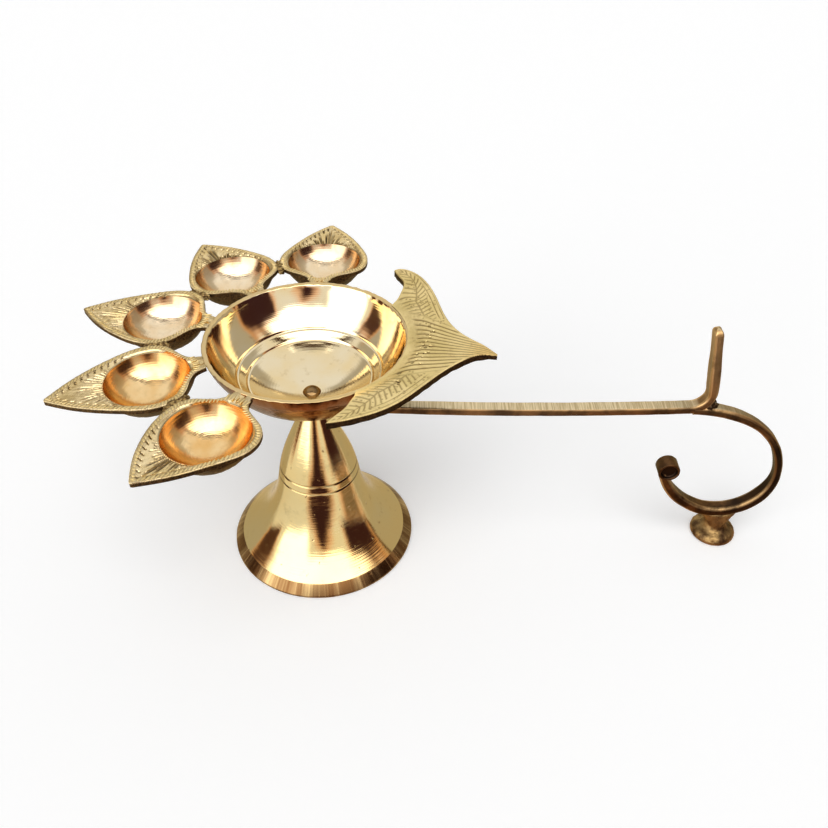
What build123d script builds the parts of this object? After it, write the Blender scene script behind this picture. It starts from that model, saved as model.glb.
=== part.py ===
from build123d import *
from math import radians, sqrt, tan
import os

# A five-wick aarti lamp in brass: a turned bowl with five leaf cups and a fish tail, on a bell foot,
# with a side handle that ends in a thumb rest, a finger scroll and a button foot.
# Sizes are millimetres. The origin is on the floor below the centre screw, +X runs along the handle
# and +Z is up. The dish stands turned on its screw by dish_turn from the line of the handle.

# Bowl
rim_height = 107.6
bowl_radius = 40.0
bowl_depth = 29.2
bowl_wall = 2.2
boss_radius = 9.0
boss_height = 2.9
groove_radius_inner = 24.5
groove_radius_outer = 28.2
groove_size = 0.45
dish_turn = -14.7

# Leaf cups. Each leaf's point has its own extra reach and its own lean in degrees. The half widths
# are shares of leaf_half_width at shares of the way from the cup's middle to the point.
leaf_pitch = 38.3
leaf_reach = 94.0
leaf_half_width = 19.0
leaf_thickness = 2.4
neck_half_width = 3.6
cup_circle = 60.5
cup_radius = 15.9
cup_depth = 12.0
cup_wall = 1.8
field_depth = 0.9
field_share = 0.88
bridge_length = 8.0
leaf_droop = 1.85
leaf_tips = ((-0.5, -0.5), (-1.8, -2.0), (0.9, 4.0), (2.5, -3.0), (-2.7, -11.0))
leaf_count = len(leaf_tips)
leaf_point_shares = ((0, 1), (0.3, 0.84), (0.74, 0.395), (1, 0))
leaf_hip_shares = (0.6, 0.85)
neck_flare = 1.4

# Fish tail. The edge points are shares of tail_reach and tail_half_span, from the tip round each
# horn to the root. The back horn stands out further than the front one.
tail_reach = 74.0
tail_half_span = 49.6
tail_thickness = 3.4
tail_lift = 2.4
tail_slope_width = 5.0
tail_turn = 4.2
tail_back_shares = (
    (1, 0),
    (0.935, 0.065),
    (0.8, 0.19),
    (0.695, 0.37),
    (0.643, 0.527),
    (0.569, 0.769),
    (0.486, 0.953),
    (0.415, 1.035),
    (0.343, 1.05),
    (0.318, 1.02),
)
tail_back_inner_shares = ((0.358, 0.93), (0.392, 0.86), (0.402, 0.75), (0.392, 0.63))
tail_front_shares = (
    (1, 0),
    (0.92, 0.024),
    (0.823, 0.133),
    (0.743, 0.288),
    (0.662, 0.492),
    (0.584, 0.681),
    (0.5, 0.817),
    (0.416, 0.907),
    (0.328, 0.98),
    (0.284, 1.005),
)
tail_front_inner_shares = ((0.316, 0.905), (0.342, 0.825), (0.355, 0.724), (0.358, 0.651))
tail_root_share = 0.5

# Handle bar and thumb rest
bar_width = 6.2
bar_thickness = 3.1
bar_sag = 1.7
eye_radius = 7.5
handle_reach = 160.2
bend_run = 7.5
bend_rise = 9.0
thumb_rest_height = 37.5
thumb_rest_lean = 4.1

# Finger scroll and button foot. The bends are shares of the scroll's reach from the bar and of its
# drop to the button; the rise is a share of the reach and of the curl's height.
scroll_width = 5.2
scroll_thickness = 3.9
scroll_reach = 38.2
scroll_lift = 14.5
scroll_bends = ((0.601, 0.125), (1.0, 0.6), (0.647, 0.985))
scroll_rise_shares = (0.311, 0.08)
curl_overhang = 9.2
curl_rise = 25.2
curl_radius = 4.7
curl_width = 6.6
curl_hollow_radius = 2.6
curl_hollow_depth = 1.2
button_offset = 18.8
button_radius = 9.9
button_edge = 1.6
button_height = 4.8
button_neck_radius = 4.4

# Bell foot. Its side passes through shares of foot_radius and of its height.
foot_radius = 40.2
foot_edge = 0.8
foot_lip = 3.0
band_radius = 36.3
band_height = 4.8
foot_side_shares = ((0.637, 0.21), (0.453, 0.456), (0.405, 0.6), (0.326, 0.74), (0.249, 0.843))
crown_radius = 5.0
crown_thickness = 14.0
foot_wall = 3.0
foot_groove_size = 0.35
foot_groove_shares = (0.537, 0.588)

# Centre screw, washer and nut
screw_radius = 2.0
screw_clearance = 0.08
thread_clearance = 0.02
head_radius = 3.75
head_height = 2.4
washer_radius = 4.5
washer_thickness = 0.8
nut_across_flats = 7.0
nut_thickness = 3.2
thread_end = 2.0

# Heights of the stack on the screw, from the bowl down
bowl_underside = rim_height - bowl_depth
bowl_floor = bowl_underside + bowl_wall
bar_top = bowl_underside - boss_height
foot_height = bar_top - bar_thickness
foot_ceiling = foot_height - crown_thickness
washer_bottom = foot_ceiling - washer_thickness
nut_bottom = washer_bottom - nut_thickness
screw_bottom = nut_bottom - thread_end
hole_radius = screw_radius + screw_clearance
bar_centre = foot_height + bar_thickness / 2


def disc(radius, bottom, top, x=0.0):
    """An upright cylinder between two heights."""
    return Pos(x, 0, (bottom + top) / 2) * Cylinder(radius, top - bottom)


def cap_height(radius, rim_radius, bottom):
    """Height of a bowl surface at a radius: a sphere through its rim and its lowest point."""
    depth = rim_height - bottom
    sphere_radius = (rim_radius**2 + depth**2) / (2 * depth)
    return bottom + sphere_radius - sqrt(sphere_radius**2 - radius**2)


def turned_cap(rim_radius, bottom):
    """The filled cap under a bowl surface, turned about the screw."""
    middle = rim_radius / 2
    outline = Plane.XZ * make_face(
        [
            ThreePointArc(
                (0, bottom),
                (middle, cap_height(middle, rim_radius, bottom)),
                (rim_radius, rim_height),
            ),
            Line((rim_radius, rim_height), (0, rim_height)),
            Line((0, rim_height), (0, bottom)),
        ]
    )
    return revolve(outline, Axis.Z)


def bowl_blank():
    """The bowl's outer form, filled, with its boss."""
    boss_top = cap_height(boss_radius, bowl_radius, bowl_underside)
    return turned_cap(bowl_radius, bowl_underside) + disc(boss_radius, bar_top, boss_top)


def centre_bowl():
    inner_radius = bowl_radius - bowl_wall
    bowl = bowl_blank() - turned_cap(inner_radius, bowl_floor)
    bowl -= disc(head_radius + screw_clearance, bowl_floor, bowl_floor + head_height)
    bowl -= disc(hole_radius, bar_top, bowl_floor)
    for radius in (groove_radius_inner, groove_radius_outer):
        bowl -= Pos(0, 0, cap_height(radius, inner_radius, bowl_floor)) * Torus(radius, groove_size)
    return bowl


def leaf_outline(number):
    """A leaf seen from above, with its neck inside the bowl and its point along +X. Each point is
    filed by hand: it falls a little long or short of the common reach and leans to one side."""
    extra_reach, lean = leaf_tips[number - 1]
    point_length = leaf_reach + extra_reach - cup_circle
    half_widths = [
        (bowl_radius - bowl_wall, neck_half_width),
        (bowl_radius + neck_half_width, neck_half_width * neck_flare),
        (cup_circle - cup_radius * leaf_hip_shares[0], leaf_half_width * leaf_hip_shares[1]),
    ]
    for along, wide in leaf_point_shares:
        half_widths.append((cup_circle + along * point_length, wide * leaf_half_width))

    def side(sign):
        return [(u, sign * v + max(u - cup_circle, 0) * tan(radians(lean))) for u, v in half_widths]

    left, right = side(1), side(-1)
    return make_face([Spline(*left), Spline(*right), Line(left[0], right[0])])


def leaf_cup(number):
    """One leaf: a flat rim plate with a sunk field, a round cup below it, and a bridge towards
    each neighbour that stops at the plane half way between them. It droops from the bowl's rim."""
    outline = leaf_outline(number)
    plan = outline
    for side, has_neighbour in ((1, number < leaf_count), (-1, number > 1)):
        if has_neighbour:
            plan += Pos(cup_circle, side * leaf_half_width) * Rectangle(bridge_length, cup_radius / 2)
    sphere_radius = (cup_radius**2 + cup_depth**2) / (2 * cup_depth)
    cup_centre = Pos(cup_circle, 0, rim_height - cup_depth + sphere_radius)
    below = disc(2 * cup_radius, rim_height - 2 * sphere_radius, rim_height - leaf_thickness / 2, cup_circle)
    leaf = Pos(0, 0, rim_height - leaf_thickness) * extrude(plan, leaf_thickness)
    leaf += cup_centre * Sphere(sphere_radius + cup_wall) & below
    field = Pos(cup_circle, 0) * scale(Pos(-cup_circle, 0) * outline, field_share)
    leaf -= Pos(0, 0, rim_height - field_depth) * extrude(field, field_depth)
    leaf -= cup_centre * Sphere(sphere_radius)
    leaf = Pos(bowl_radius, 0, rim_height) * Rot(0, leaf_droop, 0) * Pos(-bowl_radius, 0, -rim_height) * leaf
    wedge_reach = 2 * leaf_reach
    corner = (wedge_reach, wedge_reach * tan(radians(leaf_pitch / 2)))
    wedge = make_face(Polyline((0, 0), corner, (corner[0], -corner[1]), close=True))
    leaf = leaf & extrude(wedge, 2 * rim_height)
    leaf -= bowl_blank() + disc(bowl_radius, rim_height, rim_height + leaf_thickness)
    middle_leaf = (leaf_count + 1) / 2
    return Rot(0, 0, 180 + dish_turn + (number - middle_leaf) * leaf_pitch) * leaf


def tail_side(outer_shares, inner_shares, side):
    """One half of the tail's outline, from the tip round its horn to the root beside the bowl."""
    outer_points = [(x * tail_reach, side * y * tail_half_span) for x, y in outer_shares]
    inner_points = [(x * tail_reach, side * y * tail_half_span) for x, y in inner_shares]
    root = (bowl_radius * tail_root_share, side * bowl_radius * tail_root_share)
    return [Spline(*outer_points), Spline(outer_points[-1], *inner_points, root)]


def tail_plate():
    """The fish tail: a plate with two curling horns, its inner edge sloping down to the bowl's rim."""
    back = tail_side(tail_back_shares, tail_back_inner_shares, 1)
    front = tail_side(tail_front_shares, tail_front_inner_shares, -1)
    outline = make_face([*back, *front, Line(back[-1] @ 1, front[-1] @ 1)])
    top = rim_height + tail_lift
    tail = Pos(0, 0, top - tail_thickness) * extrude(outline, tail_thickness)
    tail -= bowl_blank()
    slope = Plane.XZ * make_face(
        Polyline(
            (0, rim_height),
            (bowl_radius, rim_height),
            (bowl_radius + tail_slope_width, top),
            (0, top),
            close=True,
        )
    )
    tail -= revolve(slope, Axis.Z)
    return Rot(0, 0, dish_turn + tail_turn) * tail


def strip(lines, thickness, width):
    """A flat strip of even thickness that follows a path in the XZ plane."""
    outline = offset(Wire(lines), thickness / 2, side=Side.BOTH, kind=Kind.ARC)
    return extrude(Plane.XZ * make_face(outline.edges()), width / 2, both=True)


def handle_bar():
    """The bar from the screw eye to the bend, and its end bent up as a thumb rest."""
    flat_end = (boss_radius + bar_thickness / 2, bar_centre)
    bend_start = (handle_reach - bend_run, bar_centre)
    bend_end = (handle_reach, bar_centre + bend_rise)
    top = (handle_reach - thumb_rest_lean, bar_centre + thumb_rest_height)
    flat = Line((0, bar_centre), flat_end)
    span = ThreePointArc(flat_end, ((flat_end[0] + bend_start[0]) / 2, bar_centre - bar_sag), bend_start)
    bend = TangentArc(bend_start, bend_end, tangent=span % 1)
    prong = TangentArc(bend_end, top, tangent=bend % 1)
    bar = strip([flat, span, bend, prong], bar_thickness, bar_width)
    bar += disc(eye_radius, foot_height, bar_top)
    return bar - disc(hole_radius, foot_height, bar_top)


def curl_centre():
    """The middle of the scroll's rolled end."""
    return handle_reach - curl_overhang, scroll_lift + curl_rise


def scroll_path():
    """Points that the scroll's chain of arcs passes through, from the bend to the far side of its curl."""
    start = (handle_reach - bend_run + bar_thickness / 2, bar_top - scroll_thickness / 2)
    reach = handle_reach + scroll_reach - start[0]
    drop = start[1] - scroll_lift
    points = [(start[0] + across * reach, start[1] - fall * drop) for across, fall in scroll_bends]
    rise = (start[0] + scroll_rise_shares[0] * reach, scroll_lift + scroll_rise_shares[1] * curl_rise)
    curl_x, curl_z = curl_centre()
    end = (curl_x - curl_radius + scroll_thickness / 2, curl_z)
    return [start, *points, rise, end]


def scroll_lines():
    """The scroll's centre line: arcs that run on smoothly from one to the next."""
    points = scroll_path()
    heading = Vector(1, 0)
    lines = []
    for start, end in zip(points, points[1:]):
        lines.append(TangentArc(start, end, tangent=heading))
        heading = lines[-1] % 1
    return lines


def finger_scroll(bar):
    """The open scroll for a finger, with its end rolled into a small hollow-faced curl."""
    scroll = strip(scroll_lines(), scroll_thickness, scroll_width)
    curl_x, curl_z = curl_centre()
    across = Pos(curl_x, 0, curl_z) * Rot(90, 0, 0)
    scroll += across * Cylinder(curl_radius, curl_width)
    for side in (1, -1):
        face = across * Pos(0, 0, side * (curl_width - curl_hollow_depth) / 2)
        scroll -= face * Cylinder(curl_hollow_radius, curl_hollow_depth)
    return scroll - bar


def button_foot(scroll):
    """The small turned foot under the scroll, saddled to the scroll's lowest stretch."""
    edge = (button_radius, button_edge)
    collar = (button_neck_radius, button_height)
    outline = Plane.XZ * make_face(
        [
            Polyline((0, 0), (button_radius, 0), edge),
            TangentArc(edge, collar, tangent=(0, 1)),
            Polyline(collar, (button_neck_radius, scroll_lift), (0, scroll_lift), (0, 0)),
        ]
    )
    return Pos(handle_reach + button_offset, 0) * revolve(outline, Axis.Z) - scroll


def foot_curve(inset, low, high):
    """The bell's side between two end points, moved in by a wall thickness."""
    middle = [(across * foot_radius - inset, rise * foot_height) for across, rise in foot_side_shares]
    return Spline(low, *[point for point in middle if point[1] < high[1]], high)


def bell_foot():
    """The hollow bell foot, with a solid crown for the screw and a pair of fine turned lines."""
    band_top = (band_radius, band_height)
    crown_edge = (crown_radius, foot_height)
    base_edge = (foot_radius, foot_edge)
    outside = Plane.XZ * make_face(
        [
            Polyline(crown_edge, (0, foot_height), (0, 0), (foot_radius, 0), base_edge, band_top),
            foot_curve(0, band_top, crown_edge),
        ]
    )
    inner_low = (band_radius - foot_wall, band_height)
    inner_high = (washer_radius + foot_wall, foot_ceiling)
    inside = Plane.XZ * make_face(
        [
            Polyline(inner_high, (0, foot_ceiling), (0, 0), (foot_radius - foot_lip, 0), inner_low),
            foot_curve(foot_wall, inner_low, inner_high),
        ]
    )
    foot = revolve(outside, Axis.Z) - revolve(inside, Axis.Z)
    side = foot_curve(0, band_top, crown_edge)
    for share in foot_groove_shares:
        height = share * foot_height
        level = Line((0, height), (foot_radius, height))
        radius = side.intersect(level)[0].X
        foot -= Pos(0, 0, height) * Torus(radius, foot_groove_size)
    return foot - disc(hole_radius, foot_ceiling, foot_height)


def centre_screw():
    """The round-headed screw that clamps bowl, handle and foot together."""
    dome_radius = (head_radius**2 + head_height**2) / (2 * head_height)
    dome = Pos(0, 0, bowl_floor + head_height - dome_radius) * Sphere(dome_radius)
    head = dome & disc(head_radius, bowl_floor, bowl_floor + head_height)
    return head + disc(screw_radius, screw_bottom, bowl_floor)


def foot_washer():
    return disc(washer_radius, washer_bottom, foot_ceiling) - disc(hole_radius, washer_bottom, foot_ceiling)


def foot_nut():
    hexagon = RegularPolygon(nut_across_flats / 2, 6, major_radius=False)
    nut = Pos(0, 0, nut_bottom) * extrude(hexagon, nut_thickness)
    return nut - disc(screw_radius + thread_clearance, nut_bottom, washer_bottom)


def build():
    bar = handle_bar()
    scroll = finger_scroll(bar)
    parts = {
        "centre_bowl": centre_bowl(),
        "tail_plate": tail_plate(),
        "handle_bar": bar,
        "finger_scroll": scroll,
        "button_foot": button_foot(scroll),
        "bell_foot": bell_foot(),
        "centre_screw": centre_screw(),
        "foot_washer": foot_washer(),
        "foot_nut": foot_nut(),
    }
    for number in range(1, leaf_count + 1):
        parts[f"leaf_cup_{number}"] = leaf_cup(number)
    return parts


os.makedirs("parts", exist_ok=True)
for name, solid in build().items():
    export_step(solid, f"parts/{name}.step")
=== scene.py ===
"""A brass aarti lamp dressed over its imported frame: turned bowl and foot, chased leaf cups and fish tail,
and a forged handle. Sizes are millimetres until a mesh is made, where MM turns them into metres."""

import math

import bmesh
import bpy
import numpy as np
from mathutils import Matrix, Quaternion, Vector


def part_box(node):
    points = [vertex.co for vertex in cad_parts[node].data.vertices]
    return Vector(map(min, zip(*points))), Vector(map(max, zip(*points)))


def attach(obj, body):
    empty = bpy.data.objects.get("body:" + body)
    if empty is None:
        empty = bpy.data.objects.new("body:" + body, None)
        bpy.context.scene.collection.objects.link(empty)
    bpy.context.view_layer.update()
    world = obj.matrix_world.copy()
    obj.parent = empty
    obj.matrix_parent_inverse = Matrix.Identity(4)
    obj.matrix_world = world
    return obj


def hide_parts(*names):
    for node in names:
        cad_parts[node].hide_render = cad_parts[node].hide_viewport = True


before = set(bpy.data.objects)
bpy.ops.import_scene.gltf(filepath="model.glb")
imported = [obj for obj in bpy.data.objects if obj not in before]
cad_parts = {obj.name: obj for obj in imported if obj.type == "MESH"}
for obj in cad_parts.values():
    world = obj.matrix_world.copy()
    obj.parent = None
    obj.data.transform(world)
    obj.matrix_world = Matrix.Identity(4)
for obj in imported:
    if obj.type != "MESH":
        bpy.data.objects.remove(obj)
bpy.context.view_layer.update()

MM = 0.001
SHARP_EDGE = math.radians(48)
MERGE_REACH = 2e-6
THIN_FACE = 1e-7

# Heights and radii shared with the solids
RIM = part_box("centre_bowl")[1].z / MM
BOWL_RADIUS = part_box("centre_bowl")[1].x / MM
BAR_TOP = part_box("centre_bowl")[0].z / MM
FOOT_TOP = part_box("bell_foot")[1].z / MM
FOOT_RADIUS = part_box("bell_foot")[1].x / MM
HOLE_RADIUS = 2.08
BOSS_RADIUS = 9.0
DISH_TURN = math.radians(-14.7)

# Bowl
BOWL_WALL = 2.2
BOWL_DEPTH = 29.2
BOWL_UNDERSIDE = RIM - BOWL_DEPTH
BOWL_FLOOR = BOWL_UNDERSIDE + BOWL_WALL
BOWL_INNER_RADIUS = BOWL_RADIUS - BOWL_WALL
BOWL_GROOVES = (24.5, 28.2)
BOWL_GROOVE_HALF_WIDTH = 0.55
BOWL_GROOVE_DEPTH = 0.38
LIP_ROUND = 0.55

# Leaf cups. Each tip falls a little long or short of the common reach, and leans by some degrees.
# Heights are from the plane of the rim, and an edge ease is how deep and how wide an edge is rubbed down.
# Between two radii a cup's wall is painted brown as shade, and each cup's tone is painted paler or more
# golden to stand for how brightly it is lit.
LEAF_TIPS = ((-0.5, -0.5), (-1.8, -2.0), (0.9, 4.0), (2.5, -3.0), (-2.7, -11.0))
LEAF_NUMBERS = range(1, len(LEAF_TIPS) + 1)
LEAF_PITCH = math.radians(38.3)
LEAF_REACH = 94.0
LEAF_HALF_WIDTH = 19.0
LEAF_HIP_SHARES = (0.6, 0.85)
LEAF_POINT_SHARES = ((0, 1), (0.3, 0.84), (0.74, 0.395), (1, 0))
LEAF_THICKNESS = 2.4
LEAF_DROOP = math.radians(1.85)
NECK_HALF_WIDTH = 3.6
NECK_FLARE = 1.4
NECK_SINK = 0.8
CUP_CIRCLE = 60.5
CUP_RADIUS = 15.9
CUP_DEPTH = 12.0
CUP_WALL = 1.8
CUP_MOUTH = CUP_RADIUS - 0.4
CUP_WALL_SHADE = (CUP_RADIUS - 4.9, CUP_RADIUS - 0.3)
CUP_PAINTED_TONE = (0.15, 0.15, 0.15, 1.0, 1.0)
BORDER_WIDTH = 2.5
BORDER_LEVEL = -0.16
FIELD_SINK = 0.55
LEAF_CUT_DEPTH = 0.65
LEAF_EDGE_EASE = (0.4, 0.45)
HAMMER_DEPTH = 0.07
NICK_SPACING = 2.9
NICK_SLANT = 0.8
NICK_WIDTH = 0.55

# Braze lumps between the leaves: how far out each is, its length and its width
BRAZE_LUMPS = ((56.6, 3.4, 2.3), (59.4, 2.2, 1.7), (53.9, 2.2, 1.6))
BRAZE_HEIGHT = 1.25

# Fish tail. Its outline is in shares of its reach and half span. A patch of casting pits has a middle, a
# scatter and a count.
TAIL_REACH = 74.0
TAIL_HALF_SPAN = 49.6
TAIL_THICKNESS = 3.4
TAIL_LIFT = 2.4
TAIL_TURN = DISH_TURN + math.radians(4.2)
TAIL_NOSE = TAIL_REACH - 1.3
TAIL_LIP = BOWL_RADIUS - 1.4
TAIL_BACK = ((1, 0), (0.935, 0.065), (0.8, 0.19), (0.695, 0.37), (0.643, 0.527), (0.569, 0.769),
             (0.486, 0.953), (0.415, 1.035), (0.343, 1.05), (0.318, 1.02))
TAIL_BACK_INNER = ((0.358, 0.93), (0.392, 0.86), (0.402, 0.75), (0.392, 0.63))
TAIL_FRONT = ((1, 0), (0.92, 0.024), (0.823, 0.133), (0.743, 0.288), (0.662, 0.492), (0.584, 0.681),
              (0.5, 0.817), (0.416, 0.907), (0.328, 0.98), (0.284, 1.005))
TAIL_FRONT_INNER = ((0.316, 0.905), (0.342, 0.825), (0.355, 0.724), (0.358, 0.651))
TAIL_PITS = ((46.5, 9.5, 1.6, 7), (46.0, -1.5, 2.0, 12), (43.5, -8.0, 2.2, 8), (39.0, -21.0, 2.0, 7))
TAIL_DOTS = 130
TAIL_CUT_DEPTH = 0.22
TAIL_PIT_DEPTH = 0.4
TAIL_NOSE_DROP = 0.9
TAIL_EDGE_EASE = (0.35, 0.5)

# Handle
BAR_THICKNESS = 3.1
BAR_SAG = 1.7
EYE_RADIUS = 7.5
BAR_STRIP = {"Width": 5.7, "Thickness": 3.6, "Edge": 0.9, "Unevenness": 0.28}
HANDLE_REACH = 160.2
BEND_RUN = 7.5
BEND_RISE = 9.0
THUMB_HEIGHT = 37.5
THUMB_LEAN = 4.1
THUMB_ROUND = 2.7
THUMB_STEPS = 12
SCROLL_STRIP = {"Width": 5.2, "Thickness": 3.9, "Edge": 1.5, "Unevenness": 0.45}
SCROLL_REACH = 38.2
SCROLL_LIFT = 14.5
SCROLL_BENDS = ((0.601, 0.125), (1.0, 0.6), (0.647, 0.985))
SCROLL_RISE = (0.311, 0.08)
KNOB_RADIUS = 4.7
KNOB_WIDTH = 6.6
KNOB_HOLLOW = 3.3
KNOB_RISE = 25.2
KNOB_MIDDLE = np.array([HANDLE_REACH - 9.2, 0.0, SCROLL_LIFT + KNOB_RISE])

# Where the handle's finish and its painted sheen change, in metres: heights from the bar's top, and ways
# along from the bend
HIGH_RUN = (BAR_TOP + np.array([-28.5, -22.5])) * MM
SCROLL_TOP = (BAR_TOP + np.array([-23.5, -15.5])) * MM
# Heights over which the thumb rest is lightened, partly as wear and partly as a painted reflection
THUMB_WEAR_AND_REFLECTION = (BAR_TOP + np.array([-11.5, 19.5])) * MM
BEFORE_BEND = (HANDLE_REACH + np.array([-22.2, -4.2])) * MM
SCROLL_OUTSIDE = (HANDLE_REACH + np.array([13.8, 33.8])) * MM

# Bell foot, with its side in shares of its radius and height
FOOT_SIDE = ((0.637, 0.21), (0.453, 0.456), (0.405, 0.6), (0.326, 0.74), (0.249, 0.843))
FOOT_LINES = (0.537 * FOOT_TOP, 0.588 * FOOT_TOP)
FOOT_LINE_HALF_WIDTH = 0.42
FOOT_LINE_DEPTH = 0.34
FOOT_WALL = 3.0
BAND_RADIUS = 36.3
BAND_HEIGHT = 4.8
CROWN_RADIUS = 5.0
CROWN_THICKNESS = 14.0

# Floor, room and camera, with lengths in metres unless marked
FLOOR_REACH = 3.0
FLOOR_LEVEL = -0.0003
FLOOR_SHADE_LEVEL = 0.0002
FLOOR_GLOW = 0.22
FLOOR_PALENESS = 0.86
LAMP_MIDDLE = 0.08
WORLD_LIGHT = 0.42
CAMERA_PLACE = Vector((40.8, -265.8, 294.3)) * MM
CAMERA_TARGET = Vector((41.18, 180.80, -83.71)) * MM
CAMERA_ROLL = math.radians(0.39)
CAMERA_LENS_MM = 36.92
CAMERA_SENSOR_MM = 36.0


# Colours

def rgb(red, green, blue):
    return (red, green, blue, 1.0)


def grey(level):
    return rgb(level, level, level)


BLACK = grey(0.0)
WHITE = grey(1.0)
PALE_BRASS = rgb(0.79, 0.68, 0.47)
GOLD_BRASS = rgb(0.78, 0.61, 0.33)
BROWN_BRASS = rgb(0.30, 0.18, 0.07)
DARK_PATINA = rgb(0.035, 0.021, 0.012)
WARM_EDGE = rgb(1.0, 0.87, 0.63)
BOWL_EDGE = rgb(1.0, 0.93, 0.80)
BRIGHT_WINDOW = grey(3.2)
DARK_ROOM = rgb(0.050, 0.019, 0.020)
GREY_ROOM = rgb(0.52, 0.49, 0.43)
AMBER_FRINGE = rgb(1.00, 0.38, 0.07)


# Lines

def lengths(points):
    """The length of each row."""
    return np.linalg.norm(points, axis=-1)


def way_along(points):
    """The distance from a line's start to each of its points."""
    return np.concatenate([[0], np.cumsum(lengths(np.diff(points, axis=0)))])


def polar(radius, angle):
    """Points of a plane at radii and angles about its middle."""
    return np.stack([radius * np.cos(angle), radius * np.sin(angle)], -1)


def ridge(value, width):
    """1 where the value is 0, falling evenly to 0 at the width to either side."""
    return np.clip(1 - np.abs(value) / width, 0, 1)


def quarter_shares(count):
    """Shares from 0 to 1 that close up towards the end, as heights on a quarter circle."""
    return np.sin(np.linspace(0, math.pi / 2, count))


def cap_sphere(radius, depth):
    """Radius of the sphere whose cap has a rim radius and a depth."""
    return (radius**2 + depth**2) / (2 * depth)


def at_height(flat, height):
    """Flat points in space, at one height or at a height each."""
    return np.column_stack([flat, np.broadcast_to(height, len(flat))])


def smoothstep(low, high, value):
    t = np.clip((value - low) / (high - low), 0, 1)
    return t * t * (3 - 2 * t)


def smooth_line(points, count):
    """A natural cubic curve through the points, sampled evenly by chord length."""
    points = np.array(points, float)
    along = way_along(points)
    step = np.diff(along)
    slope = np.diff(points, axis=0) / step[:, None]
    last = len(points) - 1
    matrix = np.eye(last + 1)
    right = np.zeros_like(points)
    for i in range(1, last):
        matrix[i, i - 1:i + 2] = step[i - 1], 2 * (step[i - 1] + step[i]), step[i]
        right[i] = 6 * (slope[i] - slope[i - 1])
    bend = np.linalg.solve(matrix, right)
    place = np.linspace(0, along[-1], count)
    i = np.clip(np.searchsorted(along, place, side="right") - 1, 0, last - 1)
    width = step[i][:, None]
    back = (along[i + 1] - place)[:, None] / width
    ahead = 1 - back
    sag = (back**3 - back) * bend[i] + (ahead**3 - ahead) * bend[i + 1]
    return back * points[i] + ahead * points[i + 1] + sag * width**2 / 6


def even_line(points, count):
    """The same line, with samples an even distance apart."""
    points = np.array(points, float)
    along = way_along(points)
    place = np.linspace(0, along[-1], count)
    return np.stack([np.interp(place, along, column) for column in points.T], 1)


def rounded(points, radius, steps=5):
    """A line of straight runs with its corners rounded."""
    most_share = 0.45
    points = np.array(points, float)
    line = [points[0]]
    for before, corner, after in zip(points, points[1:], points[2:]):
        into, out = before - corner, after - corner
        cut = min(radius, lengths(into) * most_share, lengths(out) * most_share)
        start = corner + into / lengths(into) * cut
        end = corner + out / lengths(out) * cut
        for t in np.linspace(0, 1, steps):
            line.append((1 - t)**2 * start + 2 * t * (1 - t) * corner + t**2 * end)
    return np.array([*line, points[-1]])


def softened(points, reach):
    """A line with its sharp turns eased, by averaging over some samples to each side."""
    padded = np.pad(points, ((reach, reach), (0, 0)), "edge")
    share = np.full(2 * reach + 1, 1 / (2 * reach + 1))
    return np.stack([np.convolve(column, share, "valid") for column in padded.T], 1)


def nearest(points, line):
    """Distance of each point to a line of samples, and the nearest sample's index."""
    squared = ((points[:, None, :] - line[None, :, :])**2).sum(2)
    return np.sqrt(squared.min(1)), squared.argmin(1)


def unevenness(points, size, seed, waves=7):
    """A gentle wobble between about -1 and 1 over points in space, the same on every run."""
    random = np.random.default_rng(seed)
    total = np.zeros(len(points))
    for _ in range(waves):
        heading = random.normal(size=3)
        heading *= random.uniform(0.6, 1.6) / np.linalg.norm(heading)
        total += np.sin(points @ heading * (2 * math.pi / size) + random.uniform(0, 2 * math.pi))
    return total / math.sqrt(waves)


# Parts, each as points, quads and marks, where a mark is a value kept on every point

def grid_quads(rows, columns, closed=False):
    """Quads of a grid of points stored row by row. closed joins the last column to the first."""
    row = np.arange(rows - 1)[:, None]
    column = np.arange(columns if closed else columns - 1)[None, :]
    beside = (column + 1) % columns
    low = row * columns
    high = low + columns
    return np.stack([low + column, low + beside, high + beside, high + column], -1).reshape(-1, 4)


def turned(profile, segments, marks=None):
    """A profile of (radius, height) turned about the Z axis. Marks hold one value for each profile point."""
    profile = np.array(profile, float)
    angle = np.linspace(0, 2 * math.pi, segments, endpoint=False)
    circles = polar(profile[:, :1], angle).reshape(-1, 2)
    points = at_height(circles, np.repeat(profile[:, 1], segments))
    spread = {mark: np.repeat(values, segments) for mark, values in (marks or {}).items()}
    return points, grid_quads(len(profile), segments, closed=True), spread


def rough_ball(size, rows, segments, waves):
    """A ball stretched to a size, after waves, each (amount, length, seed), have made it uneven."""
    fineness = 3
    points, quads, _ = turned(polar(1.0, np.linspace(-math.pi / 2, math.pi / 2, rows)), segments)
    swell = 1 + sum(amount * unevenness(points * fineness, length, seed) for amount, length, seed in waves)
    return points * swell[:, None] * np.array(size), quads


def drawn_in(points, share):
    """Points moved towards the Z axis by a share of their distance from it."""
    return at_height(points[:, :2] * (1 - share)[:, None], points[:, 2])


def spun(points, angle):
    """Points turned about the Z axis."""
    c, s = math.cos(angle), math.sin(angle)
    return points @ np.array([[c, s, 0], [-s, c, 0], [0, 0, 1]])


def wall_marks(marks, count, top):
    """Marks for a wall of count points: its first row repeats the face's marks at top, and the rest are 0."""
    made = {}
    for mark, values in marks.items():
        row = values[top]
        made[mark] = np.concatenate([row, np.zeros(count - len(row))])
    return made


def joined(parts):
    """One part from several."""
    firsts = np.cumsum([0, *[len(points) for points, _, _ in parts]])
    names = sorted({mark for part in parts for mark in part[2]})
    marks = {}
    for name in names:
        values = [np.broadcast_to(part_marks.get(name, 0.0), len(points)) for points, _, part_marks in parts]
        marks[name] = np.concatenate(values)
    quads = [part[1] + first for part, first in zip(parts, firsts)]
    return np.concatenate([points for points, _, _ in parts]), np.concatenate(quads), marks


# Meshes and pieces

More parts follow.
